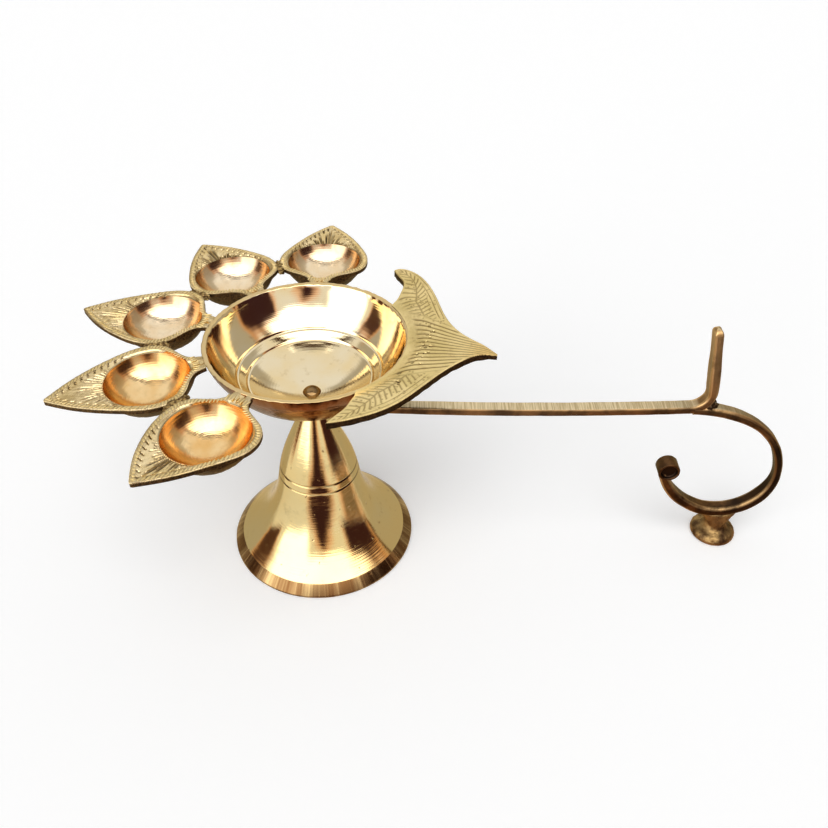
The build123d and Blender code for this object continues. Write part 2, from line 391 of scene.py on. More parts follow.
def keep_mark(mesh, name, values):
    layer = mesh.attributes.new(name, "FLOAT", "POINT")
    layer.data.foreach_set("value", values.astype(np.float32))


def plain_mesh(name, points, quads, marks):
    """A mesh from a part whose points are in metres."""
    mesh = bpy.data.meshes.new(name)
    mesh.from_pydata(points.tolist(), [], quads.tolist())
    for mark, values in marks.items():
        keep_mark(mesh, mark, values)
    return mesh


def part_mesh(name, parts):
    """A mesh from parts in millimetres."""
    points, quads, marks = joined(parts)
    return plain_mesh(name, points * MM, quads, marks)


def cleaned(mesh, extra=None):
    """The mesh, with an extra one added to it, seams and poles closed and every face turned outwards."""
    work = bmesh.new()
    work.from_mesh(mesh)
    if extra is not None:
        work.from_mesh(extra)
        bpy.data.meshes.remove(extra)
    bmesh.ops.remove_doubles(work, verts=work.verts, dist=MERGE_REACH)
    bmesh.ops.dissolve_degenerate(work, dist=THIN_FACE, edges=work.edges)
    bmesh.ops.recalc_face_normals(work, faces=work.faces)
    work.to_mesh(mesh)
    work.free()
    mesh.shade_smooth()
    mesh.set_sharp_from_angle(angle=SHARP_EDGE)
    return mesh


def in_scene(name, data):
    """A new object of the scene."""
    made = bpy.data.objects.new(name, data)
    bpy.context.scene.collection.objects.link(made)
    return made


def adopt(name, mesh, finish, body, nodes=()):
    """Puts a mesh into the scene as a piece of the lamp that rides a body and stands for nodes."""
    piece = in_scene(name, mesh)
    mesh.materials.clear()
    mesh.materials.append(finish)
    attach(piece, body)
    if nodes:
        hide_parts(*nodes)


def make_piece(name, parts, finish, body, nodes=()):
    """One finished piece from parts."""
    adopt(name, cleaned(part_mesh(name, parts)), finish, body, nodes)


# Node trees

class Signal:
    """An output socket in a node tree. Arithmetic on it adds Math nodes."""

    def __init__(self, nodes, socket):
        self.nodes = nodes
        self.socket = socket

    def output(self, name):
        """Another output of the same node."""
        return Signal(self.nodes, self.socket.node.outputs[name])

    def math(self, operation, *others):
        return self.nodes.math(operation, self, *others)

    def __add__(self, other):
        return self.math("ADD", other)

    def __sub__(self, other):
        return self.math("SUBTRACT", other)

    def __rsub__(self, other):
        return self.nodes.math("SUBTRACT", other, self)

    def __mul__(self, other):
        return self.math("MULTIPLY", other)

    def __truediv__(self, other):
        return self.math("DIVIDE", other)

    def __rtruediv__(self, other):
        return self.nodes.math("DIVIDE", other, self)

    __radd__ = __add__
    __rmul__ = __mul__

    def step(self, low, high, way="SMOOTHSTEP"):
        """Rises from 0 at low to 1 at high."""
        sockets = {"Value": self, "From Min": low, "From Max": high}
        return self.nodes.node("ShaderNodeMapRange", {"interpolation_type": way}, sockets)


class Nodes:
    """A node tree that one method fills."""

    def __init__(self, tree):
        self.tree = tree

    def node(self, kind, settings=None, sockets=None, output=0):
        """Adds a node, sets it up, links or fills its sockets, and gives one of its outputs."""
        made = self.tree.nodes.new(kind)
        for name, value in (settings or {}).items():
            setattr(made, name, value)
        self.feed(made, sockets or {})
        return Signal(self, made.outputs[output]) if made.outputs else None

    def feed(self, node, sockets):
        """Links or fills sockets of a node."""
        for name, value in sockets.items():
            if isinstance(value, Signal):
                self.tree.links.new(value.socket, node.inputs[name])
            else:
                node.inputs[name].default_value = value

    def math(self, operation, *values):
        return self.node("ShaderNodeMath", {"operation": operation}, dict(enumerate(values)))

    def axes(self, vector):
        split = self.node("ShaderNodeSeparateXYZ", {}, {"Vector": vector})
        return [split.output(axis) for axis in "XYZ"]

    def blend(self, share, first, second):
        """Goes from the first colour to the second as the share goes from 0 to 1."""
        sockets = {"Factor": share, 6: first, 7: second}
        return self.node("ShaderNodeMix", {"data_type": "RGBA"}, sockets, output=2)

    def shown_ray(self):
        """1 for a ray from the camera, from a mirroring surface or through a clear one, and 0 for light."""
        seen = ray = self.node("ShaderNodeLightPath", output="Is Camera Ray")
        for kind in ("Is Glossy Ray", "Is Transmission Ray"):
            seen = seen.math("MAXIMUM", ray.output(kind))
        return seen


class Surface(Nodes):
    """A material with one Principled shader, whose sockets can be given at once."""

    def __init__(self, name):
        self.material = bpy.data.materials.new(name)
        self.material.use_nodes = True
        super().__init__(self.material.node_tree)

    def shade(self, sockets):
        self.feed(self.tree.nodes["Principled BSDF"], sockets)
        return self.material

    def mark(self, name):
        """A value kept on the mesh's points."""
        return self.node("ShaderNodeAttribute", {"attribute_name": name}, output="Fac")


class Finish(Surface):
    """A metal finish."""

    def __init__(self, name, edge=WARM_EDGE):
        super().__init__(name)
        self.shade({"Metallic": 1.0, "Specular Tint": edge})
        self.place = self.node("ShaderNodeTexCoord", output="Object")

    def noise(self, scale, detail=3.0, roughness=0.5, place=None):
        """Noise on the piece, with scale in grains per metre, or over another place."""
        sockets = {"Vector": place or self.place, "Scale": scale, "Detail": detail, "Roughness": roughness}
        return self.node("ShaderNodeTexNoise", {}, sockets)

    def wave(self, value, turns):
        """A sine between -1 and 1 that makes so many turns for each unit of the value."""
        return (value * (turns * 2 * math.pi)).math("SINE")

    def finish(self, colour, roughness, height, depth, strength):
        """Links the colour, the roughness, and a height that bumps the surface by a depth in metres."""
        bump = self.node("ShaderNodeBump", {}, {"Height": height, "Distance": depth, "Strength": strength})
        return self.shade({"Base Color": colour, "Roughness": roughness, "Normal": bump})


# Finishes

def polished_bowl():
    """Bright turned inside, rough brown casting outside, painted darker still as a reflection of dark
    surroundings.
    """
    f = Finish("polished_bowl", BOWL_EDGE)
    x, y, _ = f.axes(f.place)
    inside, lip = map(f.mark, ("inside", "lip"))
    radius = (x * x + y * y).math("SQRT")
    rings = f.wave(radius, 2600) * 0.5 + f.wave(radius, 910) * 0.5
    cloud = f.noise(60, 4)
    grain = f.noise(900, 5, 0.65)
    stain = f.noise(220, 4, 0.6).step(0.58, 0.74)
    bright = f.blend(cloud.step(0.3, 0.75), PALE_BRASS, GOLD_BRASS)
    bright = f.blend(stain * 0.25, bright, BROWN_BRASS)
    bright = f.blend(lip * 0.75, bright, rgb(0.60, 0.42, 0.17))
    stained = stain * 0.6 + cloud.step(0.35, 0.65) * 0.4
    # The outside's brown casting: partly the casting's own dark colour, partly a painted reflection of dark
    # surroundings.
    cast = f.blend(stained, rgb(0.24, 0.074, 0.010), rgb(0.050, 0.015, 0.003))
    cast = f.blend(grain.step(0.6, 0.8) * 0.4, cast, DARK_PATINA)
    smooth = cloud * 0.06 + stain * 0.08 + 0.04
    roughness = inside * smooth + (1 - inside) * (grain * 0.14 + 0.10) + lip * 0.22
    height = inside * rings * 0.03 + (1 - inside) * grain * 0.3
    return f.finish(f.blend(inside, cast, bright), roughness, height, 0.0004, 0.35)


def turned_foot():
    """Turned and polished, with fine lines round it and brush marks on the base band."""
    f = Finish("turned_foot")
    x, y, z = f.axes(f.place)
    inside, band = map(f.mark, ("inside", "band"))
    angle = y.math("ARCTAN2", x)
    brushed = f.node("ShaderNodeCombineXYZ", {}, {"X": angle * 34, "Y": z * 40})
    strokes = f.noise(1.0, 4, place=brushed)
    patchy = f.noise(0.13, 2, place=brushed)
    around = f.node("ShaderNodeCombineXYZ", {}, {"X": angle * 1.2, "Y": z * 2400})
    lines = f.noise(1.0, 3, place=around)
    cloud = f.noise(45, 4)
    pits = f.noise(330, 2).step(0.70, 0.76)
    stain = f.noise(130, 5, 0.62).step(0.55, 0.75)
    bright = f.blend(cloud.step(0.3, 0.75), rgb(0.76, 0.60, 0.29), rgb(0.80, 0.59, 0.25))
    bright = f.blend(stain * 0.3 + pits * 0.5, bright, BROWN_BRASS)
    bright = f.blend(f.mark("line") * 0.75, bright, rgb(0.10, 0.055, 0.02))
    streaky = (strokes * 0.40 + patchy * 0.95).step(0.57, 0.95)
    bright = f.blend(band, bright, f.blend(streaky, rgb(0.15, 0.070, 0.024), rgb(0.54, 0.375, 0.170)))
    cast = f.blend(f.noise(700, 5, 0.65).step(0.3, 0.7), rgb(0.16, 0.09, 0.03), rgb(0.42, 0.27, 0.10))
    plain = lines * 0.06 + stain * 0.06 + cloud * 0.03 + 0.04
    roughness = (1 - inside) * ((1 - band) * plain + band * (strokes * 0.28 + 0.10)) + inside * 0.5
    height = (1 - band) * lines * 1.5 + band * strokes - pits * 2.0
    return f.finish(f.blend(inside, bright, cast), roughness, height, 0.00008, 0.45)


def chased_leaf():
    """Chased border and field, a bright turned cup, and a dark cast underside."""
    f = Finish("chased_leaf")
    top, carve, cup, ring = map(f.mark, ("top", "carve", "cup", "ring"))
    grain = f.noise(1500, 4, 0.6)
    dents = f.noise(620, 3)
    cloud = f.noise(120, 4)
    lathe = f.wave(ring, 1.9) * 0.5 + f.wave(ring, 0.83) * 0.5
    tarnish = f.noise(260, 5, 0.62).step(0.50, 0.72)
    satin = f.blend(cloud.step(0.3, 0.7), rgb(0.68, 0.510, 0.240), rgb(0.86, 0.690, 0.400))
    satin = f.blend(tarnish * 0.35, satin, BROWN_BRASS)
    satin = f.blend(carve * 0.92, satin, DARK_PATINA)
    # A pale cup tone that stands for a painted highlight, and a golden one; each cup's mark shares them out.
    pale = f.blend(cloud.step(0.25, 0.8), rgb(0.86, 0.74, 0.55), rgb(0.82, 0.63, 0.39))
    golden = f.blend(cloud.step(0.25, 0.8), rgb(0.86, 0.63, 0.33), rgb(0.78, 0.46, 0.16))
    # Browns each cup's steep wall as painted shade, plus some real tarnish.
    browned = ring.step(*CUP_WALL_SHADE) * (0.35 + cloud * 0.5) + tarnish * 0.15
    bowl_colour = f.blend(browned, f.blend(f.mark("golden"), pale, golden), rgb(0.36, 0.175, 0.055))
    cast = f.blend(grain.step(0.35, 0.7), DARK_PATINA, rgb(0.17, 0.095, 0.035))
    colour = f.blend(top, cast, f.blend(cup, satin, bowl_colour))
    open_rough = grain * 0.20 + carve * 0.25 + 0.11
    cup_rough = cloud * 0.10 + tarnish * 0.06 + 0.12
    roughness = top * ((1 - cup) * open_rough + cup * cup_rough) + (1 - top) * 0.55
    height = (grain * 0.5 + dents) * (1 - cup * 0.97) + cup * lathe * 0.045
    return f.finish(colour, roughness, height, 0.0003, 0.6)


def chased_tail():
    """Pale satin plate with chased lines, punched dots and dark cast edges."""
    f = Finish("chased_tail")
    top, carve, pit = map(f.mark, ("top", "carve", "pit"))
    grain = f.noise(1300, 5, 0.62)
    dents = f.noise(560, 3)
    cloud = f.noise(90, 4)
    tarnish = f.noise(300, 5, 0.6).step(0.52, 0.74)
    face = f.blend(cloud.step(0.3, 0.7), rgb(0.66, 0.515, 0.215), rgb(0.82, 0.65, 0.31))
    face = f.blend(f.mark("warm"), face, rgb(0.74, 0.49, 0.17))
    face = f.blend(tarnish * 0.34, face, BROWN_BRASS)
    face = f.blend(carve * 0.92, face, rgb(0.14, 0.085, 0.028))
    face = f.blend(pit * 0.9, face, DARK_PATINA)
    cast = f.blend(grain.step(0.35, 0.75), rgb(0.022, 0.013, 0.008), rgb(0.10, 0.055, 0.022))
    roughness = top * (grain * 0.20 + carve * 0.15 + 0.20) + (1 - top) * 0.55
    return f.finish(f.blend(top, cast, face), roughness, grain * 0.5 + dents - pit, 0.0003, 0.6)


def forged_handle():
    """Filed strip, aged brown, its edges and thumb rest rubbed bright and lit by painted highlights, its top
    by a painted sheen.
    """
    f = Finish("forged_handle")
    x, y, z = f.axes(f.place)
    filed = f.node("ShaderNodeCombineXYZ", {}, {"X": f.mark("along") * 2300, "Y": y * 90, "Z": z * 60})
    marks = f.noise(1.0, 3, place=filed)
    grain = f.noise(1100, 5, 0.65)
    cloud = f.noise(85, 5, 0.6)
    high = z.step(*HIGH_RUN)
    toward_bend = x.step(*BEFORE_BEND)
    # Painted sheen on the upward faces of the high run: a lighter colour standing for light from above, with
    # less of it towards the bend.
    upward = f.mark("upward").step(0.75, 0.97) * high * (1 - toward_bend * 0.4)
    outer_run = x.step(*SCROLL_OUTSIDE) * (1 - z.step(*SCROLL_TOP))
    # The thumb rest is lightened, partly as thumb wear and partly as a painted reflection of its
    # surroundings.
    thumb = z.step(*THUMB_WEAR_AND_REFLECTION) * (cloud * 0.9 + 0.15)
    brown = f.blend(cloud.step(0.35, 0.68), rgb(0.036, 0.019, 0.010), rgb(0.21, 0.100, 0.036))
    brown = f.blend(grain.step(0.55, 0.75) * 0.6, brown, rgb(0.022, 0.014, 0.010))
    brown = f.blend(outer_run * 0.85, brown, rgb(0.018, 0.011, 0.008))
    # The colour of the painted top sheen, streaked along the filing marks.
    rubbed = f.blend(marks.step(0.35, 0.65), rgb(0.52, 0.40, 0.22), rgb(0.82, 0.69, 0.44))
    # Rubbed wear along the edges, brightened further as painted highlights.
    wear_and_glint = f.mark("edge").step(0.40, 0.64) * cloud.step(0.30, 0.55) * (1 - outer_run * 0.5) * 0.8
    wear_and_glint = wear_and_glint * (1 - high * (1 - toward_bend) * 0.7) + thumb
    # The wear, the painted edge highlights and the thumb rest's lightening share one rubbed-brass colour.
    colour = f.blend(wear_and_glint.math("MINIMUM", 1.0), brown, rgb(0.58, 0.37, 0.165))
    # Paints the sheen over the upward faces.
    colour = f.blend(upward * 0.9, colour, rubbed)
    # Darkens the knob, with painted shade in its hollows, and gives the bend's braze lump its dark colour.
    colour = f.blend(f.mark("hollow") * 0.9, colour, rgb(0.020, 0.013, 0.010))
    roughness = marks * 0.22 + grain * 0.12 + 0.18
    return f.finish(colour, roughness, marks * 0.7 + grain * 0.5, 0.00016, 0.5)


def border_beads():
    """The strokes of the leaf borders, bright on their backs."""
    f = Finish("border_beads")
    grain = f.noise(1800, 4, 0.6)
    colour = f.blend(f.noise(150, 4).step(0.3, 0.7), rgb(0.68, 0.52, 0.23), rgb(0.82, 0.66, 0.34))
    colour = f.blend(grain.step(0.55, 0.8) * 0.45, colour, BROWN_BRASS)
    return f.finish(colour, grain * 0.25 + 0.22, grain, 0.0001, 0.4)


def braze():
    """Dark rough braze with bright rubbed tops."""
    f = Finish("braze")
    grain = f.noise(700, 5, 0.7)
    colour = f.blend(grain.step(0.42, 0.62), rgb(0.09, 0.05, 0.022), rgb(0.50, 0.35, 0.14))
    return f.finish(colour, grain * 0.3 + 0.25, grain, 0.0006, 0.8)


def cast_button():
    """Sand-cast brass, pitted, with rubbed high spots."""
    f = Finish("cast_button")
    grain = f.noise(800, 5, 0.68)
    colour = f.blend(f.noise(170, 4).step(0.35, 0.65), rgb(0.075, 0.040, 0.018), rgb(0.34, 0.215, 0.085))
    colour = f.blend(grain.step(0.56, 0.72) * 0.8, colour, DARK_PATINA)
    return f.finish(colour, grain * 0.3 + 0.22, grain, 0.0005, 0.6)


def screw_brass():
    """A polished brass screw, a little browned."""
    f = Finish("screw_brass")
    cloud = f.noise(400, 4)
    colour = f.blend(cloud.step(0.35, 0.7), rgb(0.27, 0.165, 0.07), rgb(0.09, 0.050, 0.022))
    return f.finish(colour, cloud * 0.08 + 0.05, f.noise(2500, 3), 0.00004, 0.4)


def zinc_steel():
    """Zinc-plated steel with a crystalline bloom."""
    f = Finish("zinc_steel", WHITE)
    cloud = f.noise(500, 4)
    colour = f.blend(cloud.step(0.35, 0.7), rgb(0.52, 0.52, 0.50), rgb(0.68, 0.67, 0.62))
    return f.finish(colour, cloud * 0.2 + 0.25, f.noise(2200, 3), 0.00006, 0.4)


# Bowl

def cap_height(radius, rim_radius, bottom):
    """Height of a bowl surface at a radius: a sphere through its rim and its lowest point."""
    sphere = cap_sphere(rim_radius, RIM - bottom)
    return bottom + sphere - np.sqrt(sphere**2 - radius**2)


def bowl():
    """The turned bowl: polished inside with two fine grooves, a narrow rim, a cast wall and a boss."""
    radii = np.linspace(HOLE_RADIUS, BOWL_INNER_RADIUS - LIP_ROUND, 190)
    heights = cap_height(radii, BOWL_INNER_RADIUS, BOWL_FLOOR)
    for groove in BOWL_GROOVES:
        heights -= BOWL_GROOVE_DEPTH * ridge(radii - groove, BOWL_GROOVE_HALF_WIDTH)
    inner = np.column_stack([radii, heights])
    radii = np.linspace(BOWL_RADIUS - 0.05, BOSS_RADIUS, 110)
    outer = np.column_stack([radii, cap_height(radii, BOWL_RADIUS, BOWL_UNDERSIDE)])[6:]
    lip_corners = ((BOWL_INNER_RADIUS + 0.15, RIM - 0.1), (BOWL_RADIUS - 0.15, RIM))
    lip = rounded([inner[-1], *lip_corners, outer[0]], LIP_ROUND, 6)
    boss = rounded([outer[-1], (BOSS_RADIUS, BAR_TOP), (HOLE_RADIUS, BAR_TOP), inner[0]], 0.5)
    profile = np.concatenate([inner, lip[1:-1], outer, boss[1:]])
    number = np.arange(len(profile))
    lip_start = len(inner) + 2
    lip_end = len(inner) + len(lip) - 4
    is_inside = (number < lip_end).astype(float)
    is_lip = is_inside * (number >= lip_start)
    points, quads, marks = turned(profile, 300, {"inside": is_inside, "lip": is_lip})
    near_rim = smoothstep(RIM - 3.5, RIM - 0.4, points[:, 2])
    reach = lengths(points[:, :2])
    at_wall = smoothstep(BOWL_INNER_RADIUS - 1.2, BOWL_INNER_RADIUS + 0.4, reach) * near_rim
    wobble = unevenness(points, 7.0, 3) * 0.14 + unevenness(points, 2.3, 4) * 0.07
    points = drawn_in(points, at_wall * np.abs(wobble) / BOWL_RADIUS)
    points[:, 2] -= at_wall * np.abs(unevenness(points, 5.0, 5)) * 0.16
    rough = (1 - marks["inside"]) * (1 - near_rim) * unevenness(points, 3.0, 6) * 0.10
    return drawn_in(points, np.abs(rough) / BOWL_RADIUS), quads, marks


# Leaf cups

def leaf_side(number, sign):
    """One side of a leaf from neck to point, seen from above, as a curve of (along, aside)."""
    extra_reach, lean = LEAF_TIPS[number - 1]
    point_length = LEAF_REACH + extra_reach - CUP_CIRCLE
    half_widths = [
        (BOWL_RADIUS - NECK_SINK, NECK_HALF_WIDTH),
        (BOWL_RADIUS + NECK_HALF_WIDTH, NECK_HALF_WIDTH * NECK_FLARE),
        (CUP_CIRCLE - CUP_RADIUS * LEAF_HIP_SHARES[0], LEAF_HALF_WIDTH * LEAF_HIP_SHARES[1]),
    ]
    half_widths += [(CUP_CIRCLE + point_length * u, LEAF_HALF_WIDTH * v) for u, v in LEAF_POINT_SHARES]
    tilt = math.tan(math.radians(lean))
    return smooth_line([(u, sign * v + max(u - CUP_CIRCLE, 0) * tilt) for u, v in half_widths], 200)


def leaf_edge(number):
    """A leaf's edge from the neck round the point and back."""
    left, right = (even_line(leaf_side(number, sign), 270) for sign in (1, -1))
    return softened(np.concatenate([left, right[::-1][1:]]), 5)


def leaf_angle(number):
    """The way that a leaf points. A number half way between two leaves gives the way between them."""
    middle_leaf = (len(LEAF_TIPS) + 1) / 2
    return math.pi + DISH_TURN + (number - middle_leaf) * LEAF_PITCH


def leaf_place(points, number):
    """Moves leaf points from their flat layout to the bowl: drooped at the rim and turned to their place."""
    c, s = math.cos(LEAF_DROOP), math.sin(LEAF_DROOP)
    u, v, w = points.T
    u = u - BOWL_RADIUS
    drooped = np.column_stack([BOWL_RADIUS + u * c + w * s, v, RIM - u * s + w * c])
    return spun(drooped, leaf_angle(number))


def feather_strokes(flat, number):
    """Hand-cut strokes that fan out from near the cup's middle: how deep each point is in one, and the
    share of the way to the border at which that stroke ends."""
    pivot_offset = 5.0
    strokes_per_radian = 11.0
    kinds = 200
    random = np.random.default_rng(40 + number)
    lean = math.radians(LEAF_TIPS[number - 1][1]) * 0.7
    aside = np.arctan2(flat[:, 1], flat[:, 0] - CUP_CIRCLE - pivot_offset) - lean
    phase = aside * strokes_per_radian
    stroke = np.round(phase).astype(int)
    kind = (stroke + kinds // 2) % kinds
    limits = ((0.3, 1.05), (0.55, 1.0), (0.75, 1.25), (-0.16, 0.16))
    ends, strengths, widths, shifts = (random.uniform(low, high, kinds)[kind] for low, high in limits)
    cut = np.clip(1.5 - np.abs(phase - stroke - shifts) * 3.4 / widths, 0, 1)
    return cut * strengths * (1 - smoothstep(0.8, 1.15, np.abs(aside))), ends


def border_nicks(flat, to_edge, way):
    """Slanted nicks along the inner side of a leaf's border, past the middle of its cup."""
    phase = (way + NICK_SLANT * to_edge) / NICK_SPACING
    nicks = ridge((phase - np.round(phase)) * NICK_SPACING, NICK_WIDTH)
    nicks *= smoothstep(1.5, 2.0, to_edge) * (1 - smoothstep(3.0, 3.6, to_edge))
    return nicks * smoothstep(CUP_CIRCLE + 3, CUP_CIRCLE + 8, flat[:, 0])


def leaf(number):
    """One leaf as a net of rays from the middle of its cup out to its edge, with a sunk field of
    feather strokes towards the point, nicks along its border, and the cup's own underside."""
    edge = leaf_edge(number)
    loop = np.concatenate([edge, even_line([edge[-1], edge[0]], 30)[1:-1]])
    columns = len(loop)
    sphere = cap_sphere(CUP_RADIUS, CUP_DEPTH)
    sphere_height = sphere - CUP_DEPTH
    centre = np.array([CUP_CIRCLE, 0.0])
    reach = lengths(loop - centre)
    heading = (loop - centre) / reach[:, None]

    def rays(radii):
        """Points along the rays, one row for each row of radii."""
        return (centre + radii[..., None] * heading[None]).reshape(-1, 2)

    cup_radii = CUP_MOUTH * quarter_shares(36)
    plate_shares = np.linspace(0, 1, 46)[1:, None]
    radii = np.concatenate([
        np.broadcast_to(cup_radii[:, None], (len(cup_radii), columns)),
        CUP_MOUTH + plate_shares * (reach - CUP_MOUTH)[None, :],
    ])
    flat = rays(radii)
    radius = radii.reshape(-1)
    in_cup = np.repeat(np.arange(len(radii)) < len(cup_radii), columns)
    on_plate = (~in_cup).astype(float)
    to_edge, beside = nearest(flat, edge[::2])
    border = 1 - smoothstep(BORDER_WIDTH - 0.6, BORDER_WIDTH + 0.5, to_edge)
    past_cup = np.clip(radius - CUP_MOUTH, 0, None)
    room = past_cup + np.clip(to_edge - BORDER_WIDTH, 0, None)
    climb = np.where(room > 0, past_cup / np.maximum(room, 1e-6), 0)
    mouth_height = sphere_height - math.sqrt(sphere**2 - CUP_MOUTH**2)
    field = mouth_height + (-FIELD_SINK - mouth_height) * climb
    strokes, ends = feather_strokes(flat, number)
    strokes *= (1 - border) * on_plate * (1 - smoothstep(ends * 0.7, ends, climb))
    edge_step = lengths(np.diff(edge, axis=0)).mean() * 2
    carve = np.maximum(strokes, border_nicks(flat, to_edge, beside * edge_step) * on_plate)
    ease_depth, ease_width = LEAF_EDGE_EASE
    plate = field * (1 - border) + border * BORDER_LEVEL - ease_depth * ridge(to_edge, ease_width)**2
    plate -= carve * LEAF_CUT_DEPTH
    cup = sphere_height - np.sqrt(np.maximum(sphere**2 - radius**2, 0))
    height = np.where(in_cup, cup, plate)
    hammered = unevenness(at_height(flat, height), 2.2, 60 + number) * 0.5 + 0.5
    height -= on_plate * hammered * HAMMER_DEPTH
    top = at_height(flat, height)
    cup_line = np.exp(-((past_cup - 0.2) / 0.35)**2) * on_plate * 0.75
    marks = {
        "top": np.ones(len(top)),
        "cup": in_cup.astype(float),
        "ring": radius,
        "golden": np.full(len(top), CUP_PAINTED_TONE[number - 1]),
        "carve": np.clip(np.maximum(carve, cup_line * (1 - border)) + border * 0.3, 0, 1),
    }
    face = (leaf_place(top, number), grid_quads(len(radii), columns, closed=True), marks)

    under_shares = np.linspace(1, 0, 26)[:, None]
    under_radii = reach[None, :] * under_shares
    shell_sphere = sphere + CUP_WALL
    shell = sphere_height - np.sqrt(np.maximum(shell_sphere**2 - under_radii**2, 0))
    shell = np.where(under_radii < shell_sphere, shell, 0)
    depth = np.minimum(shell, -LEAF_THICKNESS + 0.25 * (under_shares == 1))
    under = at_height(rays(under_radii), depth.reshape(-1))
    off_edge = np.repeat(under_shares[:, 0], columns) < 0.97
    under[:, 2] += unevenness(under, 2.6, 80 + number) * HAMMER_DEPTH * off_edge
    wall_top = at_height(loop, height[-columns:])
    under = np.concatenate([wall_top, wall_top - np.array([0, 0, 0.3]), under])
    quads = grid_quads(2 + len(under_shares), columns, closed=True)
    below = (leaf_place(under, number), quads, wall_marks(marks, len(under), slice(-columns, None)))
    return [face, below]


def border_paths():
    """Lines for the strokes of the leaf borders: round each point, along its cup's hips and over its neck."""
    hip_end = CUP_CIRCLE - 1
    hip_start = BOWL_RADIUS + 4.5
    middle = BORDER_WIDTH / 2
    points, hips, necks = [], [], []
    for number in LEAF_NUMBERS:
        edge = even_line(leaf_edge(number), 420)
        ahead = np.gradient(edge, axis=0)
        inward = np.stack([ahead[:, 1], -ahead[:, 0]], 1)
        line = edge + inward / lengths(inward)[:, None] * middle
        line = line[nearest(line, edge)[0] > middle - 0.12]
        placed = leaf_place(at_height(line, BORDER_LEVEL), number)
        along = line[:, 0]
        at_hips = (along <= hip_end) & (along > hip_start)
        points.append(placed[along > hip_end])
        half = len(line) // 2
        hips += [placed[side][at_hips[side]] for side in (slice(half), slice(half, None))]
        neck = polar(CUP_RADIUS + 2.1, np.linspace(-0.24, 0.24, 20)) * np.array([-1, 1])
        neck[:, 0] += CUP_CIRCLE
        necks.append(leaf_place(at_height(neck, BORDER_LEVEL - 0.02), number))
    return points, hips, necks


def braze_lumps():
    """Rough lumps of braze between neighbouring leaves."""
    parts = []
    for joint in range(len(LEAF_TIPS) - 1):
        angle = leaf_angle(joint + 1.5)
        for number, (along, length, width) in enumerate(BRAZE_LUMPS):
            waves = ((0.20, 3.0, 11 * joint + number), (0.09, 0.9, 7 * joint + number))
            points, quads = rough_ball((length, width, BRAZE_HEIGHT), 22, 40, waves)
            drop = (along - BOWL_RADIUS) * math.sin(LEAF_DROOP)
            points += np.array([along, 0.0, RIM - drop - BRAZE_HEIGHT])
            parts.append((spun(points, angle), quads, {}))
    return parts


# Fish tail

def horn_edges(outer_shares, inner_shares):
    """Angles and radii of one half of the tail's outer edge, and of its inner edge beside the bowl."""
    scale = np.array([TAIL_REACH, TAIL_HALF_SPAN])
    outer = smooth_line(np.array(outer_shares) * scale, 500)
    root = (BOWL_RADIUS * 0.5, BOWL_RADIUS * 0.5)
    inner = smooth_line([outer[-1], *(np.array(inner_shares) * scale), root], 500)
    edges = []
    for line in (outer, inner):
        turn = np.arctan2(line[:, 1], line[:, 0])
        order = np.argsort(turn)
        edges.append((turn[order], lengths(line)[order]))
    return edges


TAIL_SIDES = (horn_edges(TAIL_FRONT, TAIL_FRONT_INNER), horn_edges(TAIL_BACK, TAIL_BACK_INNER))


def tail_edges(angle):
    """Inner and outer radius of the tail at angles from its middle line, positive towards the back."""
    near, far = np.zeros_like(angle), np.zeros_like(angle)
    for side, (outer, inner) in zip((-1, 1), TAIL_SIDES):
        here = angle * side >= 0
        size = np.abs(angle[here])
        far[here] = np.minimum(np.interp(size, *outer), TAIL_NOSE)
        near[here] = np.where(size < inner[0][0], TAIL_LIP, np.interp(size, *inner))
    return np.maximum(near, TAIL_LIP), far


def chased_lines(flat, turn, share, to_outer, to_inner):
    """Long lines to the tail's tip, and on each horn veins beside a rib and lines along its outer edge."""

    def groove(phase, width):
        """Fine lines where the phase passes whole numbers."""
        return ridge(phase - np.round(phase), width)

    x, y = flat.T
    wander = unevenness(at_height(flat, 0), 22.0, 21) * 0.10
    fan = np.arctan2(y, TAIL_REACH + 12.0 - x)
    middle = 1 - smoothstep(0.36, 0.44, np.abs(fan))
    long_lines = middle * groove(fan * 17.0 + wander, 0.27) * smoothstep(0.06, 0.18, share + 0.03 * wander)
    rib_place = 0.52
    inward = np.minimum(to_inner, np.hypot(x, y) - TAIL_LIP)
    across = np.where(to_outer + to_inner > 0, to_outer / np.maximum(to_outer + inward, 1e-6), 0)
    on_horn = (1 - middle) * smoothstep(0.30, 0.42, np.abs(turn))
    vein_phase = (np.abs(turn) * 50.0 - 9.0 * np.abs(across - rib_place)) / 2.4
    veins = on_horn * groove(vein_phase + wander, 0.24) * (across > 0.24)
    edge_lines = on_horn * groove(to_outer / 1.7 + 0.45 + wander * 0.5, 0.16)
    edge_lines *= (to_outer < 5.0) * (across <= 0.26)
    rib = on_horn * ridge(across - rib_place, 0.035)
    return np.maximum.reduce([long_lines, veins * 0.8, edge_lines * 0.8, rib * 0.7])


def punched_dots(x, y, random):
    """Dots strewn over both horns."""
    dots = np.zeros(len(x))
    for _ in range(TAIL_DOTS):
        angle = random.choice((-1, 1)) * random.uniform(0.28, 0.95)
        near, far = tail_edges(np.array([angle]))
        reach = random.uniform(max(near[0], BOWL_RADIUS) + 2.5, far[0] - 1.2)
        away = np.hypot(x - reach * math.cos(angle), y - reach * math.sin(angle))
        dots = np.maximum(dots, ridge(away, random.uniform(0.4, 0.65)))
    return dots


def casting_pits(x, y, random):
    """Pits in patches beside the bowl."""
    pits = np.zeros(len(x))
    for middle_x, middle_y, scatter, count in TAIL_PITS:
        for _ in range(count):
            aside_x = x - middle_x - random.normal(0, scatter * 0.6)
            away = np.hypot(aside_x, y - middle_y - random.normal(0, scatter))
            pits = np.maximum(pits, np.clip(1.2 - away / random.uniform(0.3, 0.75), 0, 1))
    return pits


